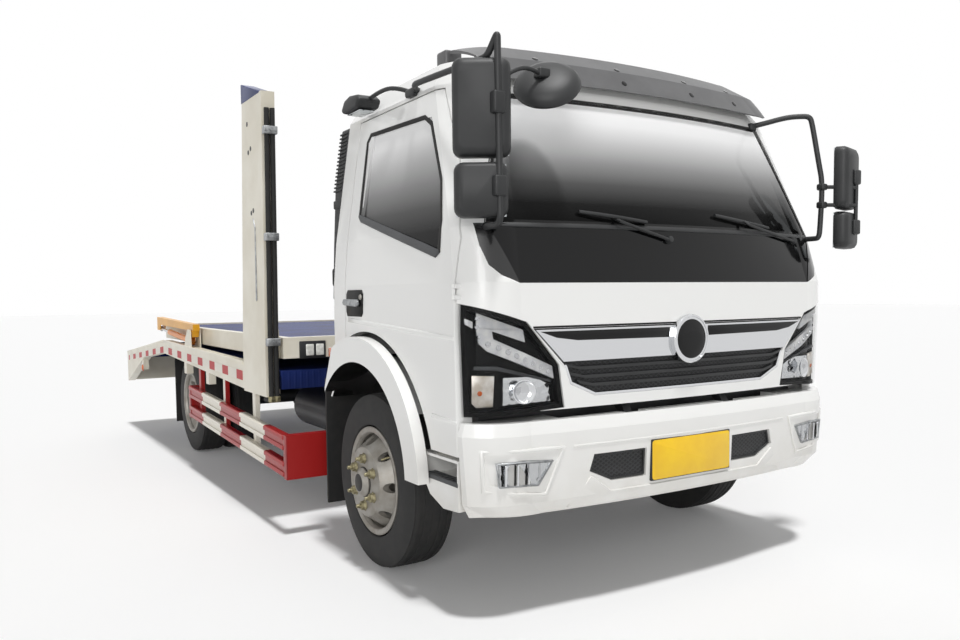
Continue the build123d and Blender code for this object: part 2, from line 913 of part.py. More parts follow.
with BuildPart() as cab_roof:
    add(cab_shell.part)
    block(-500, 900, -1100, 1100, roof_split, 2200, Mode.INTERSECT)
save(cab_roof.part, "cab_roof")

with BuildPart() as cab_front:
    add(cab_shell.part)
    block(back_split, 1000, -1100, 1100, panel_low, roof_split, Mode.INTERSECT)
    side_slab(door_outline, -1100, 1100, Mode.SUBTRACT)
    front_slab(screen_outline, 300, 1000, Mode.SUBTRACT)
    front_slab(band_outline, 300, 1000, Mode.SUBTRACT)
    front_slab(grille_outline, 700, 1000, Mode.SUBTRACT)
    front_slab(lamp_outline, lamp_back - 40, 1000, Mode.SUBTRACT)
    front_slab(lamp_mirror, lamp_back - 40, 1000, Mode.SUBTRACT)
    for sign in (1, -1):
        hinge_pin(hinge_r + 3, sign, cab_knuckles[0][1], cab_knuckles[1][0], Mode.SUBTRACT)
        for low, high in cab_knuckles:
            hinge_block(hinge_x + 1, hinge_x + 16, 975, hinge_y, sign, low, high)
            hinge_pin(hinge_r, sign, low, high)
        hinge_pin(hinge_r - 3.5, sign, cab_knuckles[0][0], cab_knuckles[1][1])
save(cab_front.part, "cab_front")

with BuildPart() as cowl_band:
    add(layer(3, 30))
    front_slab(band_outline, 500, 1000, Mode.INTERSECT, 0.3)
save(cowl_band.part, "cowl_band")

glass_out = 5
glass_in = 11
glass_layer = layer(glass_out, glass_in)
with BuildPart() as cab_glass:
    add(glass_layer)
    front_slab(screen_outline, 300, 1000, Mode.INTERSECT, 0.3)
save(cab_glass.part, "windscreen")

with BuildPart() as back_glass:
    add(glass_layer)
    front_slab(((-600, 1480), (600, 1480), (560, 1880), (-560, 1880)), -500, -300, Mode.INTERSECT, 0.3)
save(back_glass.part, "back_window")

grille_face = 14
with BuildPart() as grille:
    add(layer(grille_face, 42))
    front_slab(grille_outline, 700, 1000, Mode.INTERSECT, 0.3)
save(grille.part, "grille")

badge_z = 1010
badge_r = 97
with BuildPart() as grille_bar:
    add(layer(-4, grille_face))
    front_slab(bar_outline, 700, 1000, Mode.INTERSECT, 1)
    with BuildSketch(front_plane(902)) as badge:
        with Locations((0, badge_z)):
            Circle(badge_r)
            Circle(badge_r - 18, mode=Mode.SUBTRACT)
    extrude(badge.sketch, amount=20)
    front_slab(((-150, 1069), (150, 1069), (150, 1150), (-150, 1150)), 850, 907, Mode.SUBTRACT)
save(grille_bar.part, "grille_bar")

lens_out = 2
lens_in = 9
lamp_floor = 38
lamp_rim = 16
with BuildPart() as lamp_pockets:
    add(layer(lens_in - 1, lamp_floor))
    with BuildSketch(front_plane(lamp_back + lamp_rim)) as pocket_faces:
        for outline in (lamp_outline, lamp_mirror):
            Polygon(*outline, align=None)
        offset(amount=-lamp_rim, kind=Kind.INTERSECTION, mode=Mode.REPLACE)
    extrude(pocket_faces.sketch, amount=300, mode=Mode.INTERSECT)

with BuildPart() as lamp_housings:
    add(layer(lens_in, wall))
    with BuildSketch(front_plane(lamp_back)) as lamp_faces:
        for outline in (lamp_outline, lamp_mirror):
            Polygon(*outline, align=None)
        offset(amount=-0.3, kind=Kind.INTERSECTION, mode=Mode.REPLACE)
    extrude(lamp_faces.sketch, amount=300, mode=Mode.INTERSECT)
    add(lamp_pockets.part, mode=Mode.SUBTRACT)
save(lamp_housings.part, "lamp_housings")

with BuildPart() as lamp_lenses:
    add(layer(lens_out, lens_in))
    extrude(lamp_faces.sketch, amount=300, mode=Mode.INTERSECT)
save(lamp_lenses.part, "lamp_lenses")

# Doors and their glass
door_layer = layer(0, wall)
for side_name, door_sign in (("right", 1), ("left", -1)):
    near, far = (700, 1100) if door_sign == 1 else (-1100, -700)
    with BuildPart() as door:
        add(door_layer)
        side_slab(door_outline, near, far, Mode.INTERSECT, door_gap)
        side_slab(window_outline, near, far, Mode.SUBTRACT)
        with BuildSketch(side_plane(near)) as arch_face:
            with Locations((arch_x, arch_z)):
                Circle(arch_out + 20)
        extrude(arch_face.sketch, amount=far - near, mode=Mode.SUBTRACT)
        hinge_block(hinge_x - 26, hinge_x - 7, 985, hinge_y, door_sign, *door_knuckle)
        hinge_block(hinge_x - 10, hinge_x, hinge_y - 6, hinge_y, door_sign, *door_knuckle)
        hinge_pin(hinge_r, door_sign, *door_knuckle)
        hinge_pin(hinge_r - 3.5 + bore_play, door_sign, 1000, 1400, Mode.SUBTRACT)
    save(door.part, f"door_{side_name}")
    with BuildPart() as door_glass:
        add(glass_layer)
        side_slab(window_outline, near, far, Mode.INTERSECT, 0.3)
    save(door_glass.part, f"door_glass_{side_name}")

# Wheel arch trims with the liners over the front wheels
with BuildPart() as fenders:
    with BuildSketch(side_plane(1003)) as trim_face:
        with Locations((arch_x, arch_z)):
            Circle(arch_out)
            Circle(arch_in, mode=Mode.SUBTRACT)
        Polygon((-900, 480), (900, 480), (900, -300), (-900, -300), align=None, mode=Mode.SUBTRACT)
        Polygon(
            (-232, 1060),
            (-375, 770),
            (-375, 300),
            (-900, 300),
            (-900, 1060),
            align=None,
            mode=Mode.SUBTRACT,
        )
    extrude(trim_face.sketch, amount=47)
    with BuildSketch(side_plane(800)) as liner_face:
        with Locations((arch_x, arch_z)):
            Circle(arch_in + 14)
            Circle(arch_in, mode=Mode.SUBTRACT)
        Polygon((-900, 720), (900, 720), (900, -300), (-900, -300), align=None, mode=Mode.SUBTRACT)
    extrude(liner_face.sketch, amount=203)
    mirror(about=Plane.XZ)
save(fenders.part, "fenders")

# Roof visor on its brackets
with BuildPart() as visor_ribs:
    for rib_y in (-520, 0, 520):
        block(480, 720, rib_y - 10, rib_y + 10, 2052, 2092)
    add(cab_skin(-48), mode=Mode.INTERSECT)
    add(cab_skin(-0.3), mode=Mode.SUBTRACT)

with BuildPart() as roof_visor:
    add(layer(-54, -42))
    block(360, 900, -1100, 1100, 2012, 2168, Mode.INTERSECT)
    plan_slab(((360, -780), (900, -780), (900, 780), (360, 780)), 1900, 2300, Mode.INTERSECT)
    add(visor_ribs.part)
save(roof_visor.part, "roof_visor")

# Mirrors on their tubes: heads turned to the driver, who sits on the left
head_deep = 62
head_round = 24
kerb_low = 2000


def mirror_head(x, y, z, wide, high, turn):
    with BuildPart() as head:
        Box(head_deep, wide, high)
        fillet(head.edges().filter_by(Axis.X), head_round)
        fillet(head.faces().sort_by(Axis.X)[-1].edges(), head_round - 4)
    add(head.part.moved(Location((axle_x + x, y, z), (0, 0, turn))))


with BuildPart() as mirrors:
    tube(
        (
            (740, 880, 1436),
            (860, 905, 1436),
            (905, 908, 1480),
            (905, 913, 2070),
            (760, 930, 2080),
            (455, 893, 2008),
        ),
        12,
    )
    mirror_head(850, -945, 1836, 205, 338, -33)
    mirror_head(850, -950, 1556, 191, 190, -33)
    for clamp_z in (1846, 1566):
        block(872, 921, 890, 934, clamp_z - 36, clamp_z + 36)
    tube(((905, 911, 1915), (895, 790, 1975), (868, 700, 1955)), 8)
    with Locations(Plane((axle_x + 850, -664, 1936), z_dir=(0.68, -0.57, 0.46)).location):
        Cylinder(136, 30)
        with Locations((0, 0, 15)):
            Cone(136, 90, 24, align=(Align.CENTER, Align.CENTER, Align.MIN))
    side_slab(
        (
            (-150, kerb_low + 18),
            (-120, kerb_low),
            (20, kerb_low + 6),
            (45, kerb_low + 40),
            (-10, kerb_low + 66),
            (-110, kerb_low + 58),
        ),
        900,
        1008,
    )
    tube(((0, 950, kerb_low + 40), (240, 935, kerb_low + 62), (440, 893, kerb_low + 22)), 9)
    tube(
        (
            (735, -872, 1436),
            (846, -898, 1436),
            (852, -905, 1500),
            (852, -917, 1690),
            (790, -880, 1985),
            (640, -866, 2030),
            (455, -886, 2012),
        ),
        12,
    )
    mirror_head(884, 1054, 1716, 190, 288, 17)
    mirror_head(884, 1054, 1476, 184, 172, 17)
    for bar_z in (1672, 1590):
        tube(((852, -912, bar_z), (905, -1000, bar_z), (914, -1080, bar_z)), 9)
    upright(914, -1080, 9, 1470, 1740)
    for clamp_z in (1720, 1490):
        block(885, 926, -1102, -1058, clamp_z - 34, clamp_z + 34)
    add(cab_skin(-0.3), mode=Mode.SUBTRACT)
save(mirrors.part, "mirrors")

# Cab interior: dashboard with the steering wheel, seats
seat_y = 590
wheel_tilt = 38
wheel_at = (axle_x + 400, seat_y, 1330)
with BuildPart() as dashboard:
    side_slab(
        ((600, 1130), (700, 1130), (745, 1300), (745, 1395), (590, 1400), (545, 1300)),
        -880,
        880,
    )
    side_slab(
        ((640, cab_floor_top), (700, cab_floor_top), (720, 1140), (640, 1140)),
        -880,
        880,
    )
    with Locations(Location(wheel_at, (0, -wheel_tilt, 0))):
        Torus(205, 15)
        Box(400, 34, 18)
        Cylinder(50, 40)
        Cylinder(28, 400, align=(Align.CENTER, Align.CENTER, Align.MAX))
save(dashboard.part, "dashboard")

with BuildPart() as seats:
    block(-120, 300, seat_y - 170, seat_y + 170, cab_floor_top, 960)
    block(-150, 340, seat_y - 235, seat_y + 235, 960, 1090)
    side_slab(((-230, 1060), (-110, 1060), (-170, 1640), (-260, 1640)), seat_y - 235, seat_y + 235)
    side_slab(((-262, 1640), (-180, 1640), (-190, 1800), (-265, 1800)), seat_y - 130, seat_y + 130)
    mirror(about=Plane.XZ)
save(seats.part, "seats")

# Air intake behind the cab
with BuildPart() as snorkel:
    front_slab(
        ((-885, 1985), (-985, 1940), (-990, 1180), (-930, 1150), (-885, 1180)),
        -505,
        -385,
    )
save(snorkel.part, "snorkel")
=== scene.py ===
import math
import bpy
from mathutils import Matrix, Vector


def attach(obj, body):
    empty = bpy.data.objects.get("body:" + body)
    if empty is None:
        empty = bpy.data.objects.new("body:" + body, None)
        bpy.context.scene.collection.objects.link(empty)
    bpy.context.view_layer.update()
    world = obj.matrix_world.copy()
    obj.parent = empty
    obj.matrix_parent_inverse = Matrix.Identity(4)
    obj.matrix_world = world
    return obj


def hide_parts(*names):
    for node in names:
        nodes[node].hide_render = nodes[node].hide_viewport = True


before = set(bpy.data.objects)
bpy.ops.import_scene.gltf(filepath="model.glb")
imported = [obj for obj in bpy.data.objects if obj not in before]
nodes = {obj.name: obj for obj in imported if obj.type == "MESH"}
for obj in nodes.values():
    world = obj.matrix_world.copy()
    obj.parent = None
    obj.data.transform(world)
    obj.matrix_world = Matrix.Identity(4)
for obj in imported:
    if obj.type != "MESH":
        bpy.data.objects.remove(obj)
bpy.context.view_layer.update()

axleX = 2.0675  # front axle in the shared frame, m; lengths along the truck below count from it
rearX = -3308  # rear axle from the front one, mm
wheelZ = 388  # height of the axles, mm
lookBack = Vector((-1, 0, 0))  # line of sight onto the truck's front
flanks = (("Right", -1), ("Left", 1))  # the two sides and the sign of y there


def hexColour(code, alpha=1.0):
    parts = [int(code[i:i + 2], 16) / 255 for i in (1, 3, 5)]
    return tuple(p / 12.92 if p <= 0.04045 else ((p + 0.055) / 1.055) ** 2.4 for p in parts) + (alpha,)


def addNode(mat, kind, values=None, links=None, **settings):
    node = mat.node_tree.nodes.new("ShaderNode" + kind)
    for key, value in settings.items():
        setattr(node, key, value)
    for key, value in (values or {}).items():
        node.inputs[key].default_value = value
    for key, source in (links or {}).items():
        link(mat, source, node.inputs[key])
    return node


def link(mat, source, target):
    mat.node_tree.links.new(source, target)


# arithmetic on sockets and numbers
def calc(mat, operation, *terms):
    node = addNode(mat, "Math", operation=operation)
    for spot, term in zip(node.inputs, terms):
        if isinstance(term, (int, float)):
            spot.default_value = term
        else:
            link(mat, term, spot)
    return node.outputs[0]


def remap(mat, value, ends):
    return addNode(mat, "MapRange", ends, {"Value": value}).outputs["Result"]


def axes(mat, place):
    return addNode(mat, "SeparateXYZ", None, {"Vector": place}).outputs


def speckle(mat, place, sizeMm, detail):
    values = {"Scale": 1000 / sizeMm, "Detail": detail}
    return addNode(mat, "TexNoise", values, {"Vector": place}).outputs["Fac"]


def mixed(mat, share, first, second):
    tones = {"A": hexColour(first), "B": hexColour(second)}
    return addNode(mat, "Mix", tones, {"Factor": share}, data_type="RGBA").outputs["Result"]


# a colour laid over the paint where the share is 1
def overPaint(mat, share, colour):
    base = mat.node_tree.nodes["Principled BSDF"].inputs["Base Color"]
    mix = addNode(mat, "Mix", {"B": hexColour(colour)}, {"Factor": share}, data_type="RGBA")
    link(mat, base.links[0].from_socket, mix.inputs["A"])
    link(mat, mix.outputs["Result"], base)


def colourRamp(mat, source, stops):
    ramp = addNode(mat, "ValToRGB", None, {"Fac": source})
    elements = ramp.color_ramp.elements
    while len(elements) < len(stops):
        elements.new(0.5)
    for element, (spot, colour) in zip(elements, stops):
        element.position = spot
        element.color = colour
    return ramp.outputs["Color"]


def emboss(mat, shader, height, strength, distance):
    bump = addNode(mat, "Bump", {"Strength": strength, "Distance": distance}, {"Height": height})
    link(mat, bump.outputs["Normal"], shader.inputs["Normal"])


# a fresh material, its shader and the object coordinates that its patterns read
def startMaterial(name, colour, roughness, **sockets):
    mat = bpy.data.materials.new(name)
    mat.use_nodes = True
    shader = mat.node_tree.nodes["Principled BSDF"]
    shader.inputs["Base Color"].default_value = hexColour(colour)
    shader.inputs["Roughness"].default_value = roughness
    for key, value in sockets.items():
        shader.inputs[key.replace("_", " ")].default_value = value
    place = addNode(mat, "TexCoord").outputs["Object"]
    mat.diffuse_color = hexColour(colour)
    return mat, shader, place


# colour that wanders between two tones over a patch of the given size in mm
def mottle(mat, shader, place, first, second, patchMm, low=0.35, high=0.65):
    stops = ((low, hexColour(first)), (high, hexColour(second)))
    tone = colourRamp(mat, speckle(mat, place, patchMm, 5.0), stops)
    link(mat, tone, shader.inputs["Base Color"])


# fine relief of the given grain size in mm
def grain(mat, shader, place, grainMm, height, distance=0.001):
    emboss(mat, shader, speckle(mat, place, grainMm, 3.0), height, distance)


# roughness that wanders between two values over a patch of the given size in mm
def unevenGloss(mat, shader, place, patchMm, low, high):
    spread = remap(mat, speckle(mat, place, patchMm, 4.0), {"To Min": low, "To Max": high})
    link(mat, spread, shader.inputs["Roughness"])


# a material with, where given, two drifting tones, uneven gloss and fine relief
def material(name, colour, roughness, tones=None, gloss=None, relief=None, **sockets):
    mat, shader, place = startMaterial(name, colour, roughness, **sockets)
    if tones:
        mottle(mat, shader, place, *tones)
    if gloss:
        unevenGloss(mat, shader, place, *gloss)
    if relief:
        grain(mat, shader, place, *relief)
    return mat


# white enamel whose tone drifts in patches to a darker warm grey toward the ground
def bodyPaint(name, paint="#F1F1EF", lowerTone="#B9B2A4", topM=0.75, bottomM=0.2, roughness=0.22):
    mat, shader, place = startMaterial(name, paint, roughness, Coat_Weight=0.5, Coat_Roughness=0.06)
    fade = remap(mat, axes(mat, place)["Z"], {"From Min": topM, "From Max": bottomM})
    spots = calc(mat, "MULTIPLY", fade, speckle(mat, place, 180, 6.0))
    link(mat, mixed(mat, spots, paint, lowerTone), shader.inputs["Base Color"])
    unevenGloss(mat, shader, place, 90, roughness * 0.85, roughness * 1.25)
    return mat


# alkyd enamel on steel, brushed or sprayed: a thin orange-peel relief and faint tone drift
def shopPaint(name, paint, second, roughness=0.35, peelMm=3.0):
    coat = {"Coat_Weight": 0.15, "Coat_Roughness": 0.2}
    return material(name, paint, roughness, (paint, second, 240), None, (peelMm, 0.06), **coat)


# injection-moulded plastic with a spark-eroded grain; 1.2 mm grain drawn at 2.5 mm so that it shows
def mouldedPlastic(name, colour, second, roughness=0.5):
    return material(name, colour, roughness, (colour, second, 120), None, (2.5, 0.12))


def rubber(name, colour, second):
    return material(name, colour, 0.8, (colour, second, 60), None, (4, 0.15))


# window glass whose colour is painted reflection and shade: near-white at the upper edge as a painted sky
# reflection, deepening to black at the sill as painted shade of the dark cabin
def paintedReflectionGlass(name, topM, bottomM):
    mat, shader, place = startMaterial(name, "#2A2C2D", 0.04, Alpha=0.96, Specular_IOR_Level=0.08)
    fade = remap(mat, axes(mat, place)["Z"], {"From Min": bottomM, "From Max": topM})
    stops = (
        (0.0, "#020202"), (0.17, "#1C1C1C"), (0.33, "#555555"), (0.5, "#909090"), (0.67, "#C6C6C6"),
        (0.83, "#F0F0F0"), (1.0, "#FDFDFD"),
    )
    tone = colourRamp(mat, fade, [(spot, hexColour(code)) for spot, code in stops])
    link(mat, tone, shader.inputs["Base Color"])
    return mat


def at(x, y, z):
    return Vector((axleX + x / 1000, y / 1000, z / 1000))


def openMesh():
    bpy.ops.object.mode_set(mode="EDIT")
    bpy.ops.mesh.select_all(action="SELECT")


def shutMesh():
    bpy.ops.object.mode_set(mode="OBJECT")


def oblong(low, high, bottom, top):
    return [(low, bottom), (high, bottom), (high, top), (low, top)]


# reach across the truck on one side, in rising order
def span(sign, near, far):
    return tuple(sorted((sign * near, sign * far)))


def pick(piece):
    bpy.ops.object.select_all(action="DESELECT")
    piece.select_set(True)
    bpy.context.view_layer.objects.active = piece


# two coordinates of an outline and a depth, as a point: seen from the front, from the side or from above
layings = {
    "x": lambda u, v, w: at(w, u, v),
    "y": lambda u, v, w: at(u, w, v),
    "z": lambda u, v, w: at(u, v, w),
}
sights = {  # direction of the look and where it starts, for pieces that lie on a panel
    "front": (lookBack, "x", 2500),
    "right": (Vector((0, 1, 0)), "y", -2500),
    "left": (Vector((0, -1, 0)), "y", 2500),
}


def flatFace(name, outline, axis, depth):
    bpy.ops.object.select_all(action="DESELECT")
    bpy.ops.mesh.primitive_circle_add(vertices=len(outline), fill_type="NGON")
    piece = bpy.context.object
    piece.name = name
    for vert, (u, v) in zip(piece.data.vertices, outline):
        vert.co = layings[axis](u, v, depth)
    return piece


def applyModifier(piece, kind, **settings):
    pick(piece)
    mod = piece.modifiers.new("work", kind)
    for key, value in settings.items():
        setattr(mod, key, value)
    bpy.ops.object.modifier_apply(modifier=mod.name)


def soften(piece, widthMm, segments=2, angle=30):
    applyModifier(
        piece, "BEVEL", width=widthMm / 1000, segments=segments, limit_method="ANGLE",
        angle_limit=math.radians(angle)
    )


def closeUp(piece):
    pick(piece)
    openMesh()
    bpy.ops.mesh.remove_doubles(threshold=0.00001)
    bpy.ops.mesh.normals_make_consistent(inside=False)
    shutMesh()


# an outline cut from plate and pulled through from one depth to another
def cutPlate(name, outline, axis, low, high, edge=0, segments=2):
    piece = flatFace(name, outline, axis, low)
    openMesh()
    pull = layings[axis](0, 0, high) - layings[axis](0, 0, low)
    bpy.ops.mesh.extrude_region_move(TRANSFORM_OT_translate={"value": pull})
    shutMesh()
    closeUp(piece)
    if edge:
        soften(piece, edge, segments)
    return piece


def box(name, xs, ys, zs, edge=4, segments=2):
    return cutPlate(name, oblong(xs[0], xs[1], zs[0], zs[1]), "y", ys[0], ys[1], edge, segments)


# how far the nearest of the panels lies along the line of sight
def depthUnder(spot, ray, panels):
    hits = [nodes[p].ray_cast(spot, ray) for p in panels]
    hits = [(h[1] - spot).dot(ray) for h in hits if h[0]]
    return min(hits) if hits else None


# depth over an opening, run straight across it from the panel above and below
def bridged(spot, ray, panels):
    found = []
    for way in (0.008, -0.008):
        for i in range(1, 31):
            depth = depthUnder(spot + Vector((0, 0, way * i)), ray, panels)
            if depth is not None:
                found.append((i, depth))
                break
    if len(found) < 2:
        return None
    (first, depthA), (second, depthB) = found
    return (depthA * second + depthB * first) / (first + second)


# an outline laid on a panel: cut into cells, dropped on it along the line of sight and given its thickness
def layOn(name, outline, sight, panels, cell, lift, thick, rim=0, edge=0):
    ray, axis, start = sights[sight]
    piece = flatFace(name, outline, axis, start)
    openMesh()
    if rim:  # only the border of the outline is kept
        bpy.ops.mesh.inset(thickness=rim / 1000, depth=0)
        bpy.ops.mesh.delete(type="FACE")
    for place, count in ((0, [p[0] for p in outline]), (1, [p[1] for p in outline])):
        low, high = min(count), max(count)
        steps = max(1, int((high - low) / cell))
        for i in range(1, steps):
            mark = low + (high - low) * i / steps
            spot = layings[axis](mark if place == 0 else 0, mark if place == 1 else 0, start)
            normal = layings[axis](1 - place, place, 0) - layings[axis](0, 0, 0)
            bpy.ops.mesh.select_all(action="SELECT")
            bpy.ops.mesh.bisect(plane_co=spot, plane_no=normal)
    shutMesh()
    depths = {}
    for vert in piece.data.vertices:
        depth = depthUnder(vert.co, ray, panels)
        depth = bridged(vert.co, ray, panels) if depth is None else depth
        if depth is not None:
            depths[vert.index] = depth
    spots = {i: piece.data.vertices[i].co.copy() for i in depths}
    for vert in piece.data.vertices:  # a corner past the panel's edge takes its nearest neighbour's depth
        near = vert.index if vert.index in depths else min(
            spots, key=lambda i: (spots[i] - vert.co).length
        )
        vert.co = vert.co + ray * (depths[near] - lift / 1000)
    piece.data.update()
    if sum((f.normal.dot(ray) * f.area for f in piece.data.polygons)) > 0:
        piece.data.flip_normals()
    applyModifier(piece, "SOLIDIFY", thickness=thick / 1000, offset=-1)
    if edge:
        soften(piece, edge, 2, 50)
    return piece


# a closed outline of radius and reach, spun about an axis
def spun(name, profile, centre, axis, steps=48):
    bpy.ops.object.select_all(action="DESELECT")
    bpy.ops.mesh.primitive_circle_add(vertices=len(profile), fill_type="NOTHING")
    piece = bpy.context.object
    piece.name = name
    along = Vector(axis).normalized()
    across = along.orthogonal().normalized()
    for vert, (r, w) in zip(piece.data.vertices, profile):
        vert.co = centre + across * (r / 1000) + along * (w / 1000)
    openMesh()
    bpy.ops.mesh.spin(steps=steps, angle=2 * math.pi, center=centre, axis=along)
    shutMesh()
    closeUp(piece)
    return piece


# a bent tube through a few points
def bentTube(name, points, radiusMm, order=3, sides=6):
    curve = bpy.data.curves.new(name, "CURVE")
    curve.dimensions = "3D"
    curve.bevel_depth = radiusMm / 1000
    curve.bevel_resolution = sides // 2
    curve.use_fill_caps = True
    curve.resolution_u = 6
    spline = curve.splines.new("NURBS")
    spline.points.add(len(points) - 1)
    for spot, p in zip(spline.points, points):
        spot.co = (*at(*p), 1)
    spline.order_u = order
    spline.use_endpoint_u = True
    piece = bpy.data.objects.new(name, curve)
    bpy.context.collection.objects.link(piece)
    pick(piece)
    bpy.ops.object.convert(target="MESH")
    return bpy.context.object


def together(pieces, name):
    pick(pieces[0])
    for piece in pieces[1:]:
        piece.select_set(True)
    bpy.ops.object.join()
    piece = bpy.context.object
    piece.name = name
    return piece


def settle(piece, mat, body, slot=None, smooth=35):
    pick(piece)
    bpy.ops.object.shade_smooth_by_angle(angle=math.radians(smooth))
    piece.data.materials.clear()
    piece.data.materials.append(mat)
    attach(piece, body)
    slot = slot or usualSlots.get(mat)


# a piece of the right side and its twin on the left, with a mesh of its own
def bothSides(piece, mat, body):
    stem = piece.name
    piece.name = stem + "Right"
    settle(piece, mat, body)
    twin = bpy.data.objects.new(stem + "Left", piece.data.copy())
    bpy.context.collection.objects.link(twin)
    twin.data.transform(Matrix.Scale(-1, 4, (0, 1, 0)))
    twin.data.flip_normals()
    settle(twin, mat, body)


# reflective tape and painted bands: two colours that change along the truck
def bands(mat, shader, place, first, second, pitchM, share, shiftM=0.0):
    slide = calc(mat, "ADD", axes(mat, place)["X"], shiftM)
    turns = calc(mat, "FLOORED_MODULO", slide, pitchM)
    step = calc(mat, "LESS_THAN", turns, pitchM * share)
    link(mat, mixed(mat, step, first, second), shader.inputs["Base Color"])


# a diamond lattice in the plane of two axes, 1 on the bars and 0 in the holes
def lattice(mat, place, plane, acrossMm, highMm, bar):
    along = axes(mat, place)
    first = calc(mat, "MULTIPLY", along[plane[0]], 1000 * math.pi / acrossMm)
    second = calc(mat, "MULTIPLY", along[plane[1]], 1000 * math.pi / highMm)
    waves = []
    for operation in ("ADD", "SUBTRACT"):
        wave = calc(mat, "SINE", calc(mat, operation, first, second))
        waves.append(calc(mat, "ABSOLUTE", wave))
    near = calc(mat, "MINIMUM", *waves)
    return remap(mat, near, {"From Min": bar, "From Max": bar * 1.6, "To Min": 1.0, "To Max": 0.0})


print("materials")
cabPaint = bodyPaint("white body enamel")
deckCream = shopPaint("cream alkyd enamel", "#EAE5D6", "#DDD6C4")
deckBlue = shopPaint("dark blue alkyd enamel", "#1E2E6B", "#182556", 0.5)
frameBlack = shopPaint("black chassis enamel", "#1A1B1D", "#26262A", 0.5)
castIron = shopPaint("painted cast iron", "#3A3B3D", "#2B2B2C", 0.6, 6.0)
blackPlastic = mouldedPlastic("black grained polypropylene", "#1B1C1D", "#242526")
greyPlastic = mouldedPlastic("grey grained polypropylene", "#46484A", "#3C3D3F")
# visor grey: the plastic's own dark grey, lightened with painted sky reflection
visorGrey = mouldedPlastic("grey moulded acrylic with painted sheen", "#5F5F60", "#565657", 0.4)
glossBlack = material("piano black ABS", "#060607", 0.1, gloss=(60, 0.06, 0.12), Specular_IOR_Level=0.3)
chrome = material("chromed ABS", "#D9DADC", 0.07, gloss=(40, 0.05, 0.11), Metallic=1.0)
silverTones = ("#A29F99", "#7F7970", 70, 0.3, 0.75)
wheelSilver = material(
    "silver wheel lacquer", "#95918A", 0.46, silverTones, None, (5, 0.08), Metallic=0.5
)
tyreRubber = rubber("tyre rubber", "#1D1D1D", "#262524")
flapRubber = rubber("sheet rubber", "#161616", "#201F1E")
frontGlass = paintedReflectionGlass("laminated windscreen glass", 1.958, 1.445)
sideGlass = paintedReflectionGlass("tempered side glass", 1.916, 1.335)
clearness = {"Alpha": 0.1, "Specular_IOR_Level": 0.5}
lampClear = material("clear polycarbonate", "#15181A", 0.03, gloss=(30, 0.02, 0.06), **clearness)
guardPaint = shopPaint("red guard enamel", "#A01C1B", "#861719", 0.38)
armYellow = shopPaint("yellow alkyd enamel", "#EBAA20", "#D99A18", 0.35)
cylOrange = shopPaint("orange hydraulic enamel", "#E98A1D", "#D97A14", 0.35)
rodSteel = material("chromed cylinder rod", "#C9CBCD", 0.18, gloss=(25, 0.12, 0.25), Metallic=1.0)
clothTones = ("#26282B", "#34373B", 6)
seatCloth = material("woven seat cloth", "#2B2D30", 0.9, clothTones, None, (3, 0.3), Sheen_Weight=0.3)

# moulded lattice: dull bars, with near-black in the holes between them as painted shade behind the
# openings
hexMesh, shader, place = startMaterial("moulded grille mesh", "#1C1D1E", 0.55)
bars = lattice(hexMesh, place, ("Y", "Z"), 26, 17, 0.38)
link(hexMesh, mixed(hexMesh, bars, "#020202", "#2A2B2D"), shader.inputs["Base Color"])
emboss(hexMesh, shader, bars, 0.8, 0.004)
# vacuum-metallised reflector: bright cells 26 mm wide that break the reflection up
lampFacets, shader, place = startMaterial("metallised reflector", "#E6E8EA", 0.1, Metallic=1.0)
cells = addNode(lampFacets, "TexVoronoi", {"Scale": 1000 / 26}, {"Vector": place}, feature="F1")
emboss(lampFacets, shader, cells.outputs["Distance"], 0.7, 0.006)
lampBowl = material("satin metallised bowl", "#E9E4DC", 0.28, ("#F1EEE8", "#C9BFB2", 45), Metallic=0.7)
lampBlack = material(
    "black lamp housing", "#070707", 0.35, ("#060606", "#101010", 60), Specular_IOR_Level=0.15
)
# frosted light guide: milky, with fine prisms across it
frost = {"Coat_Weight": 0.4, "Coat_Roughness": 0.08}
lampWhite, shader, place = startMaterial("frosted acrylic light guide", "#E7E8EA", 0.3, **frost)
waves = {"Scale": 1000 / 90, "Distortion": 0.4}
prisms = addNode(lampWhite, "TexWave", waves, {"Vector": place}, bands_direction="Y")
mottle(lampWhite, shader, place, "#DADCE0", "#F4F4F2", 40)
emboss(lampWhite, shader, prisms.outputs["Fac"], 0.25, 0.002)
lens = {"relief": (8, 0.25, 0.002), "Coat_Weight": 0.6, "Coat_Roughness": 0.05}
amberLens = material("amber acrylic lens", "#D4600E", 0.12, ("#E06A12", "#B94E0A", 18), **lens)
redLens = material("red acrylic lens", "#A8100F", 0.12, ("#B51513", "#860B0B", 18), **lens)
whiteLens = material("white acrylic lens", "#E8E8E4", 0.14, ("#EFEFEA", "#CFCFC8", 18), Coat_Weight=0.5)
# fired ceramic border of the glass: deep black and smooth
ceramicBand = material(
    "fired ceramic band", "#060606", 0.2, gloss=(50, 0.16, 0.26), Specular_IOR_Level=0.3
)
# retroreflective sheet on aluminium: even yellow with a faint bead texture
sheet = {"relief": (2.5, 0.08), "Coat_Weight": 0.3, "Coat_Roughness": 0.15}
plateYellow = material("yellow reflective sheet", "#F8C800", 0.35, ("#FACD00", "#F3C200", 90), **sheet)
tapeRedWhite, shader, place = startMaterial(
    "retroreflective tape", "#E9E4DC", 0.4, Specular_IOR_Level=0.3
)
bands(tapeRedWhite, shader, place, "#E6E1D6", "#B4141C", 0.3, 0.42)
grain(tapeRedWhite, shader, place, 6, 0.1)
coat = {"Coat_Weight": 0.2, "Coat_Roughness": 0.15}
guardBands, shader, place = startMaterial("red and white guard enamel", "#B01A1C", 0.38, **coat)
bands(guardBands, shader, place, "#A01C1B", "#E8E3D6", 0.85, 0.512, 0.1995)
grain(guardBands, shader, place, 3, 0.06)
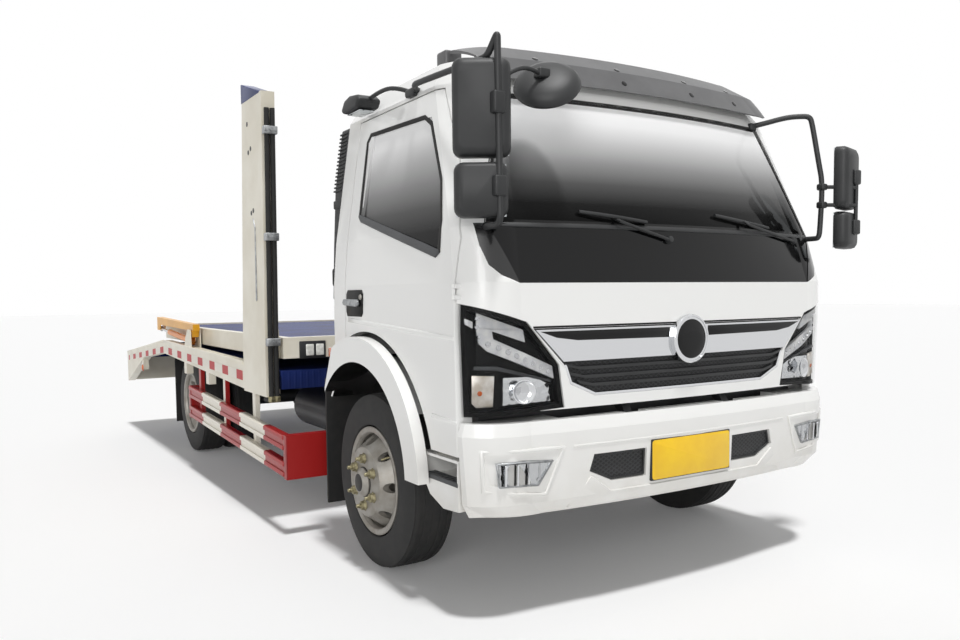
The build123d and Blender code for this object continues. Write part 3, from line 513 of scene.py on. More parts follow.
# yellow-passivated zinc: brassy and dull
zincNut = material("yellow zinc plate", "#8F866A", 0.45, ("#979072", "#6E664D", 14), Metallic=0.7)
galvanised = material("galvanised steel", "#A7A9AB", 0.42, ("#B3B5B6", "#8E9092", 22), Metallic=0.8)
brakeDrum = material("dark forged hub", "#1E1D1C", 0.5, ("#191817", "#2C2926", 40), Metallic=0.4)
mirrorGlass = material("silvered mirror glass", "#C8CCCE", 0.03, gloss=(60, 0.02, 0.05), Metallic=1.0)
# rolled tread plate: enamel over raised bars in a lattice
treadBlue, shader, place = startMaterial(
    "blue enamelled tread plate", "#1C2A5E", 0.5, Specular_IOR_Level=0.12
)
mottle(treadBlue, shader, place, "#1E2E68", "#16214C", 300)
emboss(treadBlue, shader, lattice(treadBlue, place, ("X", "Y"), 60, 34, 0.3), 0.5, 0.003)
# wheel arch: white enamel outside, black sprayed liner on the faces that look at the wheel
archPaint = bodyPaint("white arch enamel with black liner")
coords = addNode(archPaint, "TexCoord").outputs
hub = {1: (axleX, 0.0, wheelZ / 1000)}
fromHub = addNode(archPaint, "VectorMath", hub, {0: coords["Object"]}, operation="SUBTRACT").outputs[0]
flat = {1: (1.0, 0.0, 1.0)}
inPlane = addNode(archPaint, "VectorMath", flat, {0: fromHub}, operation="MULTIPLY").outputs[0]
pair = {0: inPlane, 1: coords["Normal"]}
facing = addNode(archPaint, "VectorMath", None, pair, operation="DOT_PRODUCT").outputs["Value"]
overPaint(archPaint, calc(archPaint, "LESS_THAN", facing, -0.12), "#0C0C0C")
# front panel: white enamel, with the gloss black of the cowl band carried out to its rounded corners
frontPaint = bodyPaint("white front enamel with black corners")
along = axes(frontPaint, addNode(frontPaint, "TexCoord").outputs["Object"])
height = remap(frontPaint, along["Z"], {"From Min": 1.236, "From Max": 1.452})
reaches = ((0.0, 0.8), (0.13, 0.868), (0.3, 0.905), (0.62, 0.922), (1.0, 0.928))
halfWide = colourRamp(frontPaint, height, [(spot, (reach, reach, reach, 1.0)) for spot, reach in reaches])
within = calc(frontPaint, "LESS_THAN", calc(frontPaint, "ABSOLUTE", along["Y"]), halfWide)
over = calc(frontPaint, "GREATER_THAN", along["Z"], 1.2365)
under = calc(frontPaint, "LESS_THAN", along["Z"], 1.4515)
both = calc(frontPaint, "MULTIPLY", over, under)
overPaint(frontPaint, calc(frontPaint, "MULTIPLY", both, within), "#060607")

usualSlots = {
    cabPaint: "cab_white", deckCream: "deck_cream", tapeRedWhite: "deck_cream", deckBlue: "deck_blue",
    frameBlack: "frame_black", brakeDrum: "frame_black", blackPlastic: "black_plastic",
    hexMesh: "black_plastic", lampBlack: "black_plastic", glossBlack: "gloss_black",
    ceramicBand: "gloss_black", chrome: "chrome", lampBowl: "chrome", lampFacets: "chrome",
    mirrorGlass: "chrome", wheelSilver: "wheel_silver", zincNut: "wheel_silver",
    tyreRubber: "tyre", flapRubber: "flap_rubber", sideGlass: "glass", lampClear: "lamp_clear",
    lampWhite: "lamp_clear", amberLens: "lamp_clear", redLens: "lamp_clear", whiteLens: "lamp_clear",
    guardPaint: "guard_red", guardBands: "guard_red", galvanised: "rod_steel",
    seatCloth: "seat_fabric", greyPlastic: "grey_plastic", visorGrey: "grey_plastic",
}

coats = (
    (frameBlack, "frame front_axle rear_axle tanks cab_floor knuckle_right knuckle_left"),
    (cabPaint, "bumper steps cab_back cab_roof door_right door_left"),
    (blackPlastic, "fog_lamps mirrors snorkel"),
    (deckCream, "lower_rails posts deck_lamps upper_frame"),
    (sideGlass, "back_window door_glass_right door_glass_left"),
    (wheelSilver, "rim_front_right rim_front_left rim_rear_right rim_rear_left"),
    (tyreRubber, "tyre_front_right tyre_front_left tyre_rear_right tyre_rear_left"),
    (flapRubber, "mudflaps post_hoses"), (treadBlue, "lower_floor upper_floor"),
    (armYellow, "swing_arm_right swing_arm_left"), (cylOrange, "cylinder_right cylinder_left"),
    (rodSteel, "cylinder_rod_right cylinder_rod_left"), (castIron, "driveline"),
    (guardBands, "side_guards"), (frontPaint, "cab_front"), (glossBlack, "cowl_band"),
    (frontGlass, "windscreen"), (hexMesh, "grille"), (chrome, "grille_bar"), (lampBlack, "lamp_housings"),
    (lampClear, "lamp_lenses"), (archPaint, "fenders"), (visorGrey, "roof_visor"),
    (greyPlastic, "dashboard"), (seatCloth, "seats"),
)
for mat, names in coats:
    for name in names.split():
        nodes[name].data.materials.clear()
        nodes[name].data.materials.append(mat)
bpy.ops.object.select_all(action="DESELECT")


# pieces laid on panels, by rows: name, outline, cell, lift, thickness, rim, rounding and material
def layRows(rows, sight, panels, body, place, ending=""):
    for name, outline, cell, lift, thick, rim, edge, mat in rows:
        place(layOn(name + ending, outline, sight, panels, cell, lift, thick, rim, edge), mat, body)


print("headlamps")
lampSizes = {
    "strip": [
        (-940, 1132), (-778, 1068), (-768, 1022), (-894, 1066), (-890, 1038), (-652, 932), (-644, 884),
        (-908, 994), (-932, 1022), (-942, 1078),
    ],
    "sideStrip": [(-978, 1112), (-950, 1100), (-950, 1076), (-978, 1092)],
    "indicator": [(-956, 908), (-880, 905), (-884, 792), (-938, 790), (-957, 808)],
    "reflector": [(-852, 898), (-726, 896), (-660, 866), (-652, 800), (-852, 796)],
    "shelf": [(-950, 940), (-872, 938), (-655, 880), (-655, 872), (-872, 924), (-950, 928)],
    "dots": (
        (-936, 1112), (-936, 1080), (-928, 1046), (-905, 1020), (-872, 1006), (-838, 990), (-804, 975),
        (-770, 960), (-736, 945), (-702, 930), (-672, 916),
    ),
    "dot": [(0, 2), (9, 2), (11, -4), (0, -4)],
    "bulb": [(0, 26), (7, 25), (12, 20), (13, 12), (11, 2), (0, 2)],
    "bowl": [(0, 4), (22, 5), (38, 14), (44, 22), (40, 22), (34, 14), (20, 8), (0, 7)],
}
lampRows = (
    ("lampStrip", lampSizes["strip"], 24, 22, 20, 0, 3, lampWhite),
    ("lampSideStrip", lampSizes["sideStrip"], 24, 14, 12, 0, 2, lampWhite),
    ("lampIndicator", lampSizes["indicator"], 20, 12, 10, 0, 3, lampBowl),
    ("lampReflector", lampSizes["reflector"], 18, 14, 12, 0, 3, lampFacets),
    ("lampShelf", lampSizes["shelf"], 40, 18, 16, 0, 2, greyPlastic),
)
layRows(lampRows, "front", ["lamp_housings"], "cab", bothSides)
dots = []
for y, z in lampSizes["dots"]:
    hit = nodes["lamp_housings"].ray_cast(at(2500, y, z), lookBack)[1]
    dots.append(spun("led", lampSizes["dot"], hit + Vector((0.022, 0, 0)), (1, -0.3, 0), 12))
bothSides(together(dots, "lampLeds"), chrome, "cab")
bulbSpot = nodes["lamp_housings"].ray_cast(at(2500, -922, 842), lookBack)[1]
bothSides(spun("lampBulb", lampSizes["bulb"], bulbSpot, (1, -0.3, 0.1), 20), amberLens, "cab")
bothSides(spun("lampBowl", lampSizes["bowl"], at(846, -780, 846), (1, -0.25, 0), 32), chrome, "cab")

print("grille")
grilleSizes = {
    "slats": ((912, 926, 604), (878, 892, 582), (846, 860, 545)),
    "lift": 13,
    "thick": 15,
    "lip": [
        (-612, 935), (-585, 862), (-470, 812), (470, 812), (585, 862), (612, 935), (600, 935),
        (575, 870), (466, 823), (-466, 823), (-575, 870), (-600, 935),
    ],
    "insert": [(-722, 1060), (-108, 1060), (-108, 1020), (-560, 1024), (-650, 1036)],
    "disc": [(0, 24), (46, 23), (74, 21), (87.5, 17), (87.5, 2), (0, 2)],
    "ring": [(87, 4), (87, 21), (89, 25), (94, 25), (97.5, 21), (97.5, 8), (90, 4)],
}
lift, thick = grilleSizes["lift"], grilleSizes["thick"]
slats = []
for low, high, reach in grilleSizes["slats"]:
    bow = [
        (-reach - 10, high + 16), (-reach + 60, high), (reach - 60, high), (reach + 10, high + 16),
        (reach - 4, low + 14), (reach - 70, low), (-reach + 70, low), (-reach + 4, low + 14),
    ]
    slats.append(layOn("slat", bow, "front", ["grille"], 60, lift, thick, edge=3))
settle(together(slats, "grilleSlats"), blackPlastic, "cab")
settle(layOn("grilleLip", grilleSizes["lip"], "front", ["grille"], 70, lift, 9, edge=2), chrome, "cab")
insert = layOn("barInsert", grilleSizes["insert"], "front", ["grille_bar"], 60, 1.5, 5, edge=1)
bothSides(insert, glossBlack, "cab")
# a thin gloss black strip along the grille bar: painted shadow
seam = layOn("barShadowStrip", oblong(-748, 748, 1073, 1080), "front", ["cab_front"], 90, 1, 3)
settle(seam, glossBlack, "cab")
badgeSpot = at(900, 0, 1010)
settle(spun("badgeDisc", grilleSizes["disc"], badgeSpot, (1, 0, 0), 64), glossBlack, "cab")
settle(spun("badgeRing", grilleSizes["ring"], badgeSpot, (1, 0, 0), 72), chrome, "cab")

print("bumper")
bumperSizes = {
    "mesh": [(-245, 488), (-410, 488), (-508, 531), (-490, 592), (-245, 592)],
    "chin": [(-600, 397), (-510, 514), (-414, 446), (414, 446), (510, 514), (600, 397)],
    "groove": [(-590, 638), (590, 638), (590, 630), (-590, 630)],
    "scoop": [(-626, 640), (-702, 462), (-948, 488), (-956, 646)],
    "plate": (-218, 218, 464, 620),
    "fog": [(-680, 593), (-742, 503), (-897, 509), (-908, 599)],
    "fogRibs": ((-738, 524), (-784, 514), (-830, 514), (-874, 514)),
    "fogTop": 590,
}
pairRows = (
    ("bumperMesh", bumperSizes["mesh"], 30, 6, 5, 0, 0, hexMesh),
    ("bumperMeshRim", bumperSizes["mesh"], 60, 12, 12, 7, 1.5, blackPlastic),
    ("fogScoop", bumperSizes["scoop"], 16, 1.2, 8, 0, 1, cabPaint),
    ("fogScoopEdge", bumperSizes["scoop"], 40, 7, 9, 11, 4, cabPaint),
    ("fogBowl", bumperSizes["fog"], 16, 6, 6, 0, 0, lampFacets),
    ("fogRim", bumperSizes["fog"], 24, 11, 10, 7, 2, galvanised),
    ("fogLens", bumperSizes["fog"], 24, 13, 2, 0, 0, lampClear),
)
wideRows = (
    ("bumperChin", bumperSizes["chin"], 60, 8, 9, 0, 4, cabPaint),
    ("bumperGroove", bumperSizes["groove"], 80, 3, 5, 0, 2, cabPaint),
)
layRows(pairRows, "front", ["bumper"], "chassis", bothSides)
layRows(wideRows, "front", ["bumper"], "chassis", settle)
# chrome ribs in the fog lamps, and beside each a black bar: painted dark reflection between the chrome
# cells
for name, offset, wide, lift, mat in (("fogRibs", 0, 8, 10, chrome), ("fogDarkReflections", -9, 5, 7, lampBlack)):
    bars = []
    for y, low in bumperSizes["fogRibs"]:
        middle = y + offset
        outline = oblong(middle - wide / 2, middle + wide / 2, low, bumperSizes["fogTop"])
        bars.append(layOn("bar", outline, "front", ["bumper"], 24, lift, 6, edge=1.5))
    bothSides(together(bars, name), mat, "chassis")
# a black plate across the gap between the bumper top and the cab: painted shade in the gap
settle(box("bumperGapShadePlate", (700, 710), (-878, 878), (600, 764), 2), frameBlack, "chassis")
y0, y1, z0, z1 = bumperSizes["plate"]
holder = cutPlate("plateHolder", oblong(y0 - 4, y1 + 4, z0 - 4, z1 + 4), "x", 905, 927, 3)
settle(holder, blackPlastic, "chassis")
plateFace = flatFace("frontPlate", oblong(y0, y1, z0, z1), "x", 927)
openMesh()
bpy.ops.mesh.bevel(offset=0.012, segments=4, affect="VERTICES")
bpy.ops.mesh.select_all(action="SELECT")
bpy.ops.mesh.inset(thickness=0.006, depth=0)
bpy.ops.mesh.inset(thickness=0.003, depth=0.0015)
shutMesh()
applyModifier(plateFace, "SOLIDIFY", thickness=0.002, offset=0)
closeUp(plateFace)
settle(plateFace, plateYellow, "chassis")

print("windscreen and wipers")
screenRim = [(-884, 1456), (884, 1456), (731, 1954), (-731, 1954)]
sealRim = [(-896, 1449), (896, 1449), (740, 1963), (-740, 1963)]
cowlEdge = [(-872, 1440), (872, 1440), (876, 1456), (-876, 1456)]
sealPanels = ["windscreen", "cab_front", "cowl_band"]
settle(layOn("screenBorder", screenRim, "front", ["windscreen"], 110, 0.6, 2, rim=10), ceramicBand, "cab")
settle(layOn("screenSeal", sealRim, "front", sealPanels, 110, 3, 7, 9, 2), flapRubber, "cab")
cowlLip = layOn("cowlLip", cowlEdge, "front", ["cowl_band", "windscreen"], 90, 7, 10, edge=3)
settle(cowlLip, blackPlastic, "cab")
wiperSpots = (  # pivot, elbow, tip and heel of each wiper, seen from the front
    ((-92, 1402), (-340, 1466), (-505, 1502), (-196, 1470)),
    ((745, 1420), (395, 1478), (205, 1514), (560, 1474)),
)
pivotLine = [(0, 22), (12, 20), (15, 12), (15, -4), (0, -4)]
wipers = []
for row in wiperSpots:
    spots = []
    for y, z in row:
        hits = [nodes[n].ray_cast(at(2500, y, z), lookBack) for n in ("windscreen", "cowl_band")]
        spots.append(max((h[1] for h in hits if h[0]), key=lambda h: h.x))
    pivot, elbow, tip, heel = [((s.x - axleX) * 1000, s.y * 1000, s.z * 1000) for s in spots]
    midY, midZ = (tip[1] + heel[1]) / 2, (tip[2] + heel[2]) / 2
    arm = [(pivot[0] + 14, *pivot[1:]), (elbow[0] + 34, *elbow[1:]), (tip[0] + 16, midY, midZ + 2)]
    bowX = max(tip[0], heel[0]) + 18
    blade = [(tip[0] + 11, *tip[1:]), (bowX, midY, midZ), (heel[0] + 11, *heel[1:])]
    wipers += [bentTube("arm", arm, 6, 2), bentTube("blade", blade, 7, 3)]
    wipers.append(spun("pivot", pivotLine, spots[0], (1, 0, 0.3), 20))
settle(together(wipers, "wipers"), blackPlastic, "cab")

print("door trim")
doorSizes = {
    "window": [
        (-147, 1878), (-113, 1913), (398, 1897), (462, 1860), (597, 1624), (632, 1470), (632, 1352),
        (600, 1335), (-109, 1520), (-142, 1546),
    ],
    "sill": [(-140, 1544), (-110, 1520), (600, 1335), (630, 1350), (629, 1362), (-139, 1557)],
    "rear": [(-146, 1878), (-142, 1547), (-110, 1521), (-88, 1516), (-80, 1904), (-113, 1912)],
    "crease": [(-215, 1098), (746, 1048), (746, 1032), (-215, 1078)],
    "swage": [(560, 752), (742, 742), (742, 728), (556, 736)],
    "well": [
        (-232, 1126), (-218, 1104), (-66, 1104), (-52, 1118), (-48, 1204), (-62, 1222), (-214, 1222),
        (-230, 1204),
    ],
    "grip": [
        (-238, 1166), (-226, 1154), (-84, 1148), (-72, 1156), (-72, 1172), (-86, 1180), (-226, 1182),
    ],
    "lock": [(0, 9), (10, 8), (13, 4), (13, -2), (0, -2)],
}
windowRows = (
    ("windowRear", doorSizes["rear"], 40, 2, 3, 0, 0, sideGlass),
    ("windowSeal", doorSizes["window"], 50, 5, 7, 17, 1.5, flapRubber),
    ("windowSill", doorSizes["sill"], 60, 8, 9, 0, 3, greyPlastic),
)
panelRows = (
    ("doorCrease", doorSizes["crease"], 60, 4, 6, 0, 3, cabPaint),
    ("doorSwage", doorSizes["swage"], 50, 5, 7, 0, 3, cabPaint),
    ("handleWell", doorSizes["well"], 30, 4, 6, 0, 2, lampBlack),
)
for cap, sign in flanks:
    side = cap.lower()
    panel, glass, body = "door_" + side, "door_glass_" + side, "door_" + side
    layRows(windowRows, side, [panel, glass], body, settle, cap)
    layRows(panelRows, side, [panel], body, settle, cap)
    grip = layOn("handleGrip" + cap, doorSizes["grip"], side, [panel], 24, 22, 14, edge=4)
    settle(grip, galvanised, body, "wheel_silver")
    lock = spun("handleLock" + cap, doorSizes["lock"], at(-70, sign * 992, 1190), (0, sign, 0), 20)
    settle(lock, wheelSilver, body)

print("wheels")
wheelSizes = {
    "tread": 388, "grooves": (-54, -18, 18, 54), "grooveWide": 9, "grooveDeep": 9, "lugs": 48,
    "outer": 885, "inner": 650, "frontSeat": 139, "rearSeat": 11,
    "nuts": 6, "nutCircle": 103, "nutSize": 20, "nutReach": 30,
    "bolts": 8, "boltCircle": 66, "boltSeat": 34,
    "lip": [
        (206, 80), (212, 96), (218, 101), (232, 103), (237, 99), (236, 92), (228, 90), (222, 86),
        (214, 76),
    ],
    "frontHub": [(0, 172), (30, 171), (44, 166), (50, 150), (58, 146), (66, 144), (67, 138), (0, 138)],
    "rearHub": [(0, 38), (40, 38), (52, 34), (76, 34), (82, 30), (82, 12), (0, 12)],
}
shoulder = [
    (233, 93), (238, 100), (250, 103.5), (258, 106), (264, 104), (300, 107), (322, 107), (326, 108.5),
    (332, 108.5), (336, 106), (352, 104), (366, 99), (376, 92), (383, 83), (386, 74),
]
treadLine = []
for groove in reversed(wheelSizes["grooves"]):
    half = wheelSizes["grooveWide"] / 2
    top, low = wheelSizes["tread"] - abs(groove) / 60, wheelSizes["tread"] - wheelSizes["grooveDeep"]
    treadLine += [
        (top, groove + half), (low, groove + half - 1.5), (low, groove - half + 1.5), (top, groove - half)
    ]
innerLine = [(262, -92), (330, -97), (368, -84), (373, 0), (368, 84), (330, 97)]
tyreProfile = shoulder + treadLine + [(r, -w) for r, w in reversed(shoulder)] + innerLine


# tyre with ribs, shoulder slots pressed in, centred on a wheel
def shapeTyre(name, x, y, outward):
    centre = at(x, y, wheelZ)
    sectors = wheelSizes["lugs"] * 2
    tyre = spun(name, tyreProfile, centre, (0, outward, 0), sectors)
    for face in tyre.data.polygons:
        face.select = False
        rel = face.center - centre
        reach = abs(rel.y) * 1000
        r = math.hypot(rel.x, rel.z) * 1000
        turn = int((math.atan2(rel.z, rel.x) + math.pi) / (2 * math.pi) * sectors)
        if 74 < reach < 99 and r > 366 and turn % 2 == 0:
            face.select = True
    bpy.ops.object.mode_set(mode="EDIT")
    bpy.ops.mesh.select_mode(type="FACE")
    bpy.ops.mesh.inset(thickness=0.003, depth=-0.007)
    bpy.ops.mesh.select_mode(type="VERT")
    shutMesh()
    return tyre


def ringOfNuts(name, x, y, outward):
    size, reach, circle = wheelSizes["nutSize"], wheelSizes["nutReach"], wheelSizes["nutCircle"]
    nutLine = [
        (0, reach), (size * 0.55, reach), (size * 0.55, reach * 0.72), (size, reach * 0.66), (size, 6),
        (size * 1.25, 4), (size * 1.25, -2), (0, -2),
    ]
    studLine = [
        (0, reach + 12), (size * 0.34, reach + 11), (size * 0.42, reach + 8), (size * 0.42, reach - 4),
        (0, reach - 4),
    ]
    parts = []
    for i in range(wheelSizes["nuts"]):
        turn = 2 * math.pi * i / wheelSizes["nuts"] + math.pi / 6
        spot = at(x + circle * math.cos(turn), y, wheelZ + circle * math.sin(turn))
        nut = spun("nut", nutLine, spot, (0, outward, 0), 6)
        soften(nut, 1.2, 1)
        parts += [nut, spun("stud", studLine, spot, (0, outward, 0), 14)]
    return together(parts, name)


def dressWheel(ending, x, sign, body, nutSeat, hubLine):
    y = sign * wheelSizes["outer"]
    lip = spun("rimLip" + ending, wheelSizes["lip"], at(x, y, wheelZ), (0, sign, 0), 72)
    settle(lip, wheelSilver, body)
    settle(ringOfNuts("nuts" + ending, x, y + sign * nutSeat, sign), zincNut, body)
    settle(spun("hub" + ending, hubLine, at(x, y, wheelZ), (0, sign, 0), 40), brakeDrum, body)


for cap, sign in flanks:
    side = cap.lower()
    front, rear = "wheel_front_" + side, "wheel_rear_" + side
    y = sign * wheelSizes["outer"]
    tyre = shapeTyre("tyreFront" + cap, 0, y, sign)
    settle(tyre, tyreRubber, front)
    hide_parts("tyre_front_" + side)
    dressWheel("Front" + cap, 0, sign, front, wheelSizes["frontSeat"], wheelSizes["frontHub"])
    stem = [(148, 86, 126), (142, 104, 122), (134, 122, 116)]
    valve = bentTube("valveFront" + cap, [(u, y + sign * v, wheelZ + w) for u, v, w in stem], 4.5)
    settle(valve, zincNut, front)
    pair = [shapeTyre("tyre", rearX, sign * wheelSizes[k], sign) for k in ("outer", "inner")]
    tyre = together(pair, "tyresRear" + cap)
    settle(tyre, tyreRubber, rear)
    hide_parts("tyre_rear_" + side)
    dressWheel("Rear" + cap, rearX, sign, rear, wheelSizes["rearSeat"], wheelSizes["rearHub"])
    bolts = []
    for i in range(wheelSizes["bolts"]):
        turn = 2 * math.pi * i / wheelSizes["bolts"]
        u, w = wheelSizes["boltCircle"] * math.cos(turn), wheelSizes["boltCircle"] * math.sin(turn)
        spot = at(rearX + u, y + sign * wheelSizes["boltSeat"], wheelZ + w)
        bolts.append(spun("bolt", [(0, 10), (7, 10), (8, 8), (8, -1), (0, -1)], spot, (0, sign, 0), 6))
    settle(together(bolts, "hubBolts" + cap), galvanised, rear)

print("mirrors")
mirrorSizes = {
    "deep": 30, "glassFront": 33, "glassBack": 29, "clampHalf": 24,
    "steps": ((0.036, 0.985, 0.985), (0.014, 0.93, 0.955), (0.01, 0.82, 0.88)),
    "kerb": [
        (-217, 2014), (-193, 1999), (-51, 2005), (-19, 2038), (-53, 2060), (-125, 2068), (-177, 2058)
    ],
    "kerbGlass": [(-185, -990), (-55, -990), (-55, -918), (-185, -918)],
    "dome": [
        (0, 40), (46, 38), (84, 31), (108, 18), (120, 2), (123, -9), (119, -16), (112, -13), (0, -13)
    ],
}
heads = (  # name, place, half width, half height, turn
    ("mirrorMainRight", (850, -945, 1836), 102, 169, -33),
    ("mirrorWideRight", (850, -950, 1556), 95, 95, -33),
    ("mirrorMainLeft", (884, 1054, 1716), 95, 144, 17),
    ("mirrorWideLeft", (884, 1054, 1476), 92, 86, 17),
)
clamps = (  # place, half height, depth
    ((880, -913, 1846), 38, 42), ((880, -911, 1566), 36, 42),
    ((898, 1080, 1720), 34, 28), ((898, 1080, 1490), 34, 28),
)
tubes = (  # radius, order, sides, points
    (12, 3, 10, [
        (735, -880, 1436), (840, -902, 1436), (905, -908, 1436), (905, -908, 1500), (905, -911, 1800),
        (905, -913, 2040), (905, -913, 2074), (895, -916, 2062), (866, -926, 2012), (840, -931, 2004),
        (640, -945, 2008), (420, -945, 2017), (336, -940, 2020), (282, -876, 2009),
    ]),
    (8, 3, 8, [(905, -911, 1915), (898, -850, 1965), (888, -760, 1988), (868, -692, 1968)]),
    (12, 3, 10, [
        (735, 872, 1436), (830, 896, 1436), (852, 898, 1440), (852, 905, 1500), (852, 917, 1690),
        (838, 908, 1780), (808, 897, 1965), (798, 892, 2000), (765, 864, 2004), (720, 820, 2002),
        (640, 745, 1977), (572, 702, 1966),
    ]),
    (9, 3, 8, [(852, 912, 1672), (880, 960, 1672), (912, 1030, 1672), (914, 1082, 1672)]),
    (9, 3, 8, [(852, 912, 1590), (880, 960, 1590), (912, 1030, 1590), (914, 1082, 1590)]),
    (9, 2, 8, [(914, 1080, 1462), (914, 1080, 1600), (914, 1080, 1748)]),
    (9, 3, 8, [(-60, -950, 2040), (60, -944, 2060), (180, -922, 2050), (252, -878, 2013)]),
)
joins = (  # clamps and feet of the tubes: reach along, across and up, rounding
    ((834, 872), (894, 932), (1657, 1687), 8), ((834, 872), (894, 932), (1575, 1605), 8),
    ((846, 886), (-722, -672), (1960, 1996), 8), ((236, 306), (-922, -878), (1992, 2026), 9),
    ((578, 628), (694, 738), (1950, 1984), 9),
)


def mirrorShell(name, spot, half, tall, turn):
    outline = oblong(-half, half, -tall, tall)
    shell = flatFace(name, outline, "x", -mirrorSizes["deep"])
    openMesh()
    bpy.ops.mesh.bevel(offset=0.034, segments=5, affect="VERTICES")
    bpy.ops.mesh.select_all(action="SELECT")
    for pull, wide, high in mirrorSizes["steps"]:
        bpy.ops.mesh.extrude_region_move(TRANSFORM_OT_translate={"value": (pull, 0, 0)})
        bpy.ops.transform.resize(value=(1, wide, high), center_override=at(0, 0, 0))
    shutMesh()
    closeUp(shell)
    soften(shell, 3, 2, 40)
    turned = Matrix.Rotation(math.radians(turn), 4, "Z") @ Matrix.Translation(-at(0, 0, 0))
    turnBy = Matrix.Translation(at(*spot)) @ turned
    shell.data.transform(turnBy)
    pane = [(u * 0.93, v * 0.95) for u, v in outline]
    glass = cutPlate(
        name + "Glass", pane, "x", -mirrorSizes["glassFront"], -mirrorSizes["glassBack"], 1.5
    )
    glass.data.transform(turnBy)
    settle(glass, mirrorGlass, "cab")
    return shell


mirrorParts = [mirrorShell(*head) for head in heads]
for (x, y, z), half, deep in clamps:
    wide = mirrorSizes["clampHalf"]
    mirrorParts.append(box("clamp", (x - 8, x + deep), (y - wide, y + wide), (z - half, z + half), 8, 3))
for radius, order, sides, points in tubes:
    mirrorParts.append(bentTube("tube", points, radius, order, sides))
for xs, ys, zs, edge in joins:
    mirrorParts.append(box("join", xs, ys, zs, edge, 3))
mirrorParts.append(spun("dome", mirrorSizes["dome"], at(850, -664, 1948), (0.58, -0.5, 0.64), 56))
mirrorParts.append(cutPlate("kerb", mirrorSizes["kerb"], "y", -1010, -898, 14, 3))
mirrorSet = together(mirrorParts, "mirrorSet")
settle(mirrorSet, blackPlastic, "cab", smooth=45)
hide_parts("mirrors")
inward = Vector((-0.58, 0.5, -0.64))
roundPane = [(0, 8), (60, 6), (112, -1), (112, -4), (0, -4)]
roundGlass = spun("mirrorRoundGlass", roundPane, at(843, -658, 1941) + inward * 0.01, inward, 48)
settle(roundGlass, mirrorGlass, "cab")
settle(cutPlate("kerbGlass", mirrorSizes["kerbGlass"], "z", 1994, 1999, 1.5), mirrorGlass, "cab")

print("roof and visor")
roofSizes = {
    "studsAcross": (-530, -136, 258, 560), "studsHigh": (2052, 2116),
    "stud": [(0, 2), (9, 2), (13, 1), (13, -3), (0, -3)],
    "lamp": ((276, 352), (714, 795), (2088, 2180), 12, 4),
}


# a box on one side of the truck, given by its reach along, out from the middle and up
def sideBox(name, sign, xs, ys, zs, edge=4, segments=2):
    return box(name, xs, span(sign, *ys), zs, edge, segments)


visorStuds = []
for y in roofSizes["studsAcross"]:
    for z in roofSizes["studsHigh"]:
        hit = nodes["roof_visor"].ray_cast(at(2500, y, z), lookBack)
        visorStuds.append(spun("stud", roofSizes["stud"], hit[1], hit[2], 16))
settle(together(visorStuds, "visorStuds"), glossBlack, "cab")
roofLamps = [sideBox("roofLamp", sign, *roofSizes["lamp"]) for sign in (-1, 1)]
settle(together(roofLamps, "roofLampSet"), visorGrey, "cab")

print("steps and side lamps")
stepSizes = {
    "bars": 10, "first": 484, "pitch": 26, "wide": 13, "across": (950, 992), "high": (508, 517),
    "nosing": ((474, 748), (982, 998), (500, 518), 4),
    "backRail": ((474, 748), (944, 952), (500, 518), 2),
    "lamp": ((-350, -262), (1000, 1040), (914, 958), 7, 3),
    "lampBase": ((-358, -254), (978, 1002), (908, 964), 5),
}
for side, sign in flanks:
    bars = []
    for i in range(stepSizes["bars"]):
        x = stepSizes["first"] + i * stepSizes["pitch"]
        reach = (x, x + stepSizes["wide"])
        bars.append(sideBox("bar", sign, reach, stepSizes["across"], stepSizes["high"], 2))
    for name in ("nosing", "backRail"):
        bars.append(sideBox(name, sign, *stepSizes[name]))
    settle(together(bars, "stepTread" + side), greyPlastic, "chassis")
    settle(sideBox("sideLamp" + side, sign, *stepSizes["lamp"]), amberLens, "cab")
    settle(sideBox("sideLampBase" + side, sign, *stepSizes["lampBase"]), blackPlastic, "cab")

print("air intake")
intakeSizes = {
    "outline": [
        (-802, 1985), (-893, 1985), (-935, 1703), (-949, 1430), (-958, 1180), (-900, 1150), (-802, 1180),
    ],
    "rear": -475, "front": -386, "top": (1985, 893), "knee": (1703, 935),
    "louvres": 16, "first": 1690, "pitch": 18, "ribFront": -395,
    "joint": ((-481, -383), (-944, -797), (1610, 1650), 6),
    "boot": ((-482, -390), (-960, -797), (1240, 1330), 14, 3),
}
rear = intakeSizes["rear"]
intake = cutPlate("intakeDuct", intakeSizes["outline"], "x", rear, intakeSizes["front"], 8, 3)
settle(intake, blackPlastic, "cab")
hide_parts("snorkel")
(zTop, yTop), (zKnee, yKnee) = intakeSizes["top"], intakeSizes["knee"]
ribs = []
for i in range(intakeSizes["louvres"]):
    z = intakeSizes["first"] + i * intakeSizes["pitch"]
    y = yKnee + (yTop - yKnee) * (z - zKnee) / (zTop - zKnee)
    ribs.append(box("rib", (rear - 5, intakeSizes["ribFront"]), (-y - 5, -y + 8), (z, z + 8), 2))
settle(together(ribs, "intakeLouvres"), blackPlastic, "cab")
settle(box("intakeJoint", *intakeSizes["joint"]), blackPlastic, "cab")
settle(box("intakeBoot", *intakeSizes["boot"]), flapRubber, "cab")

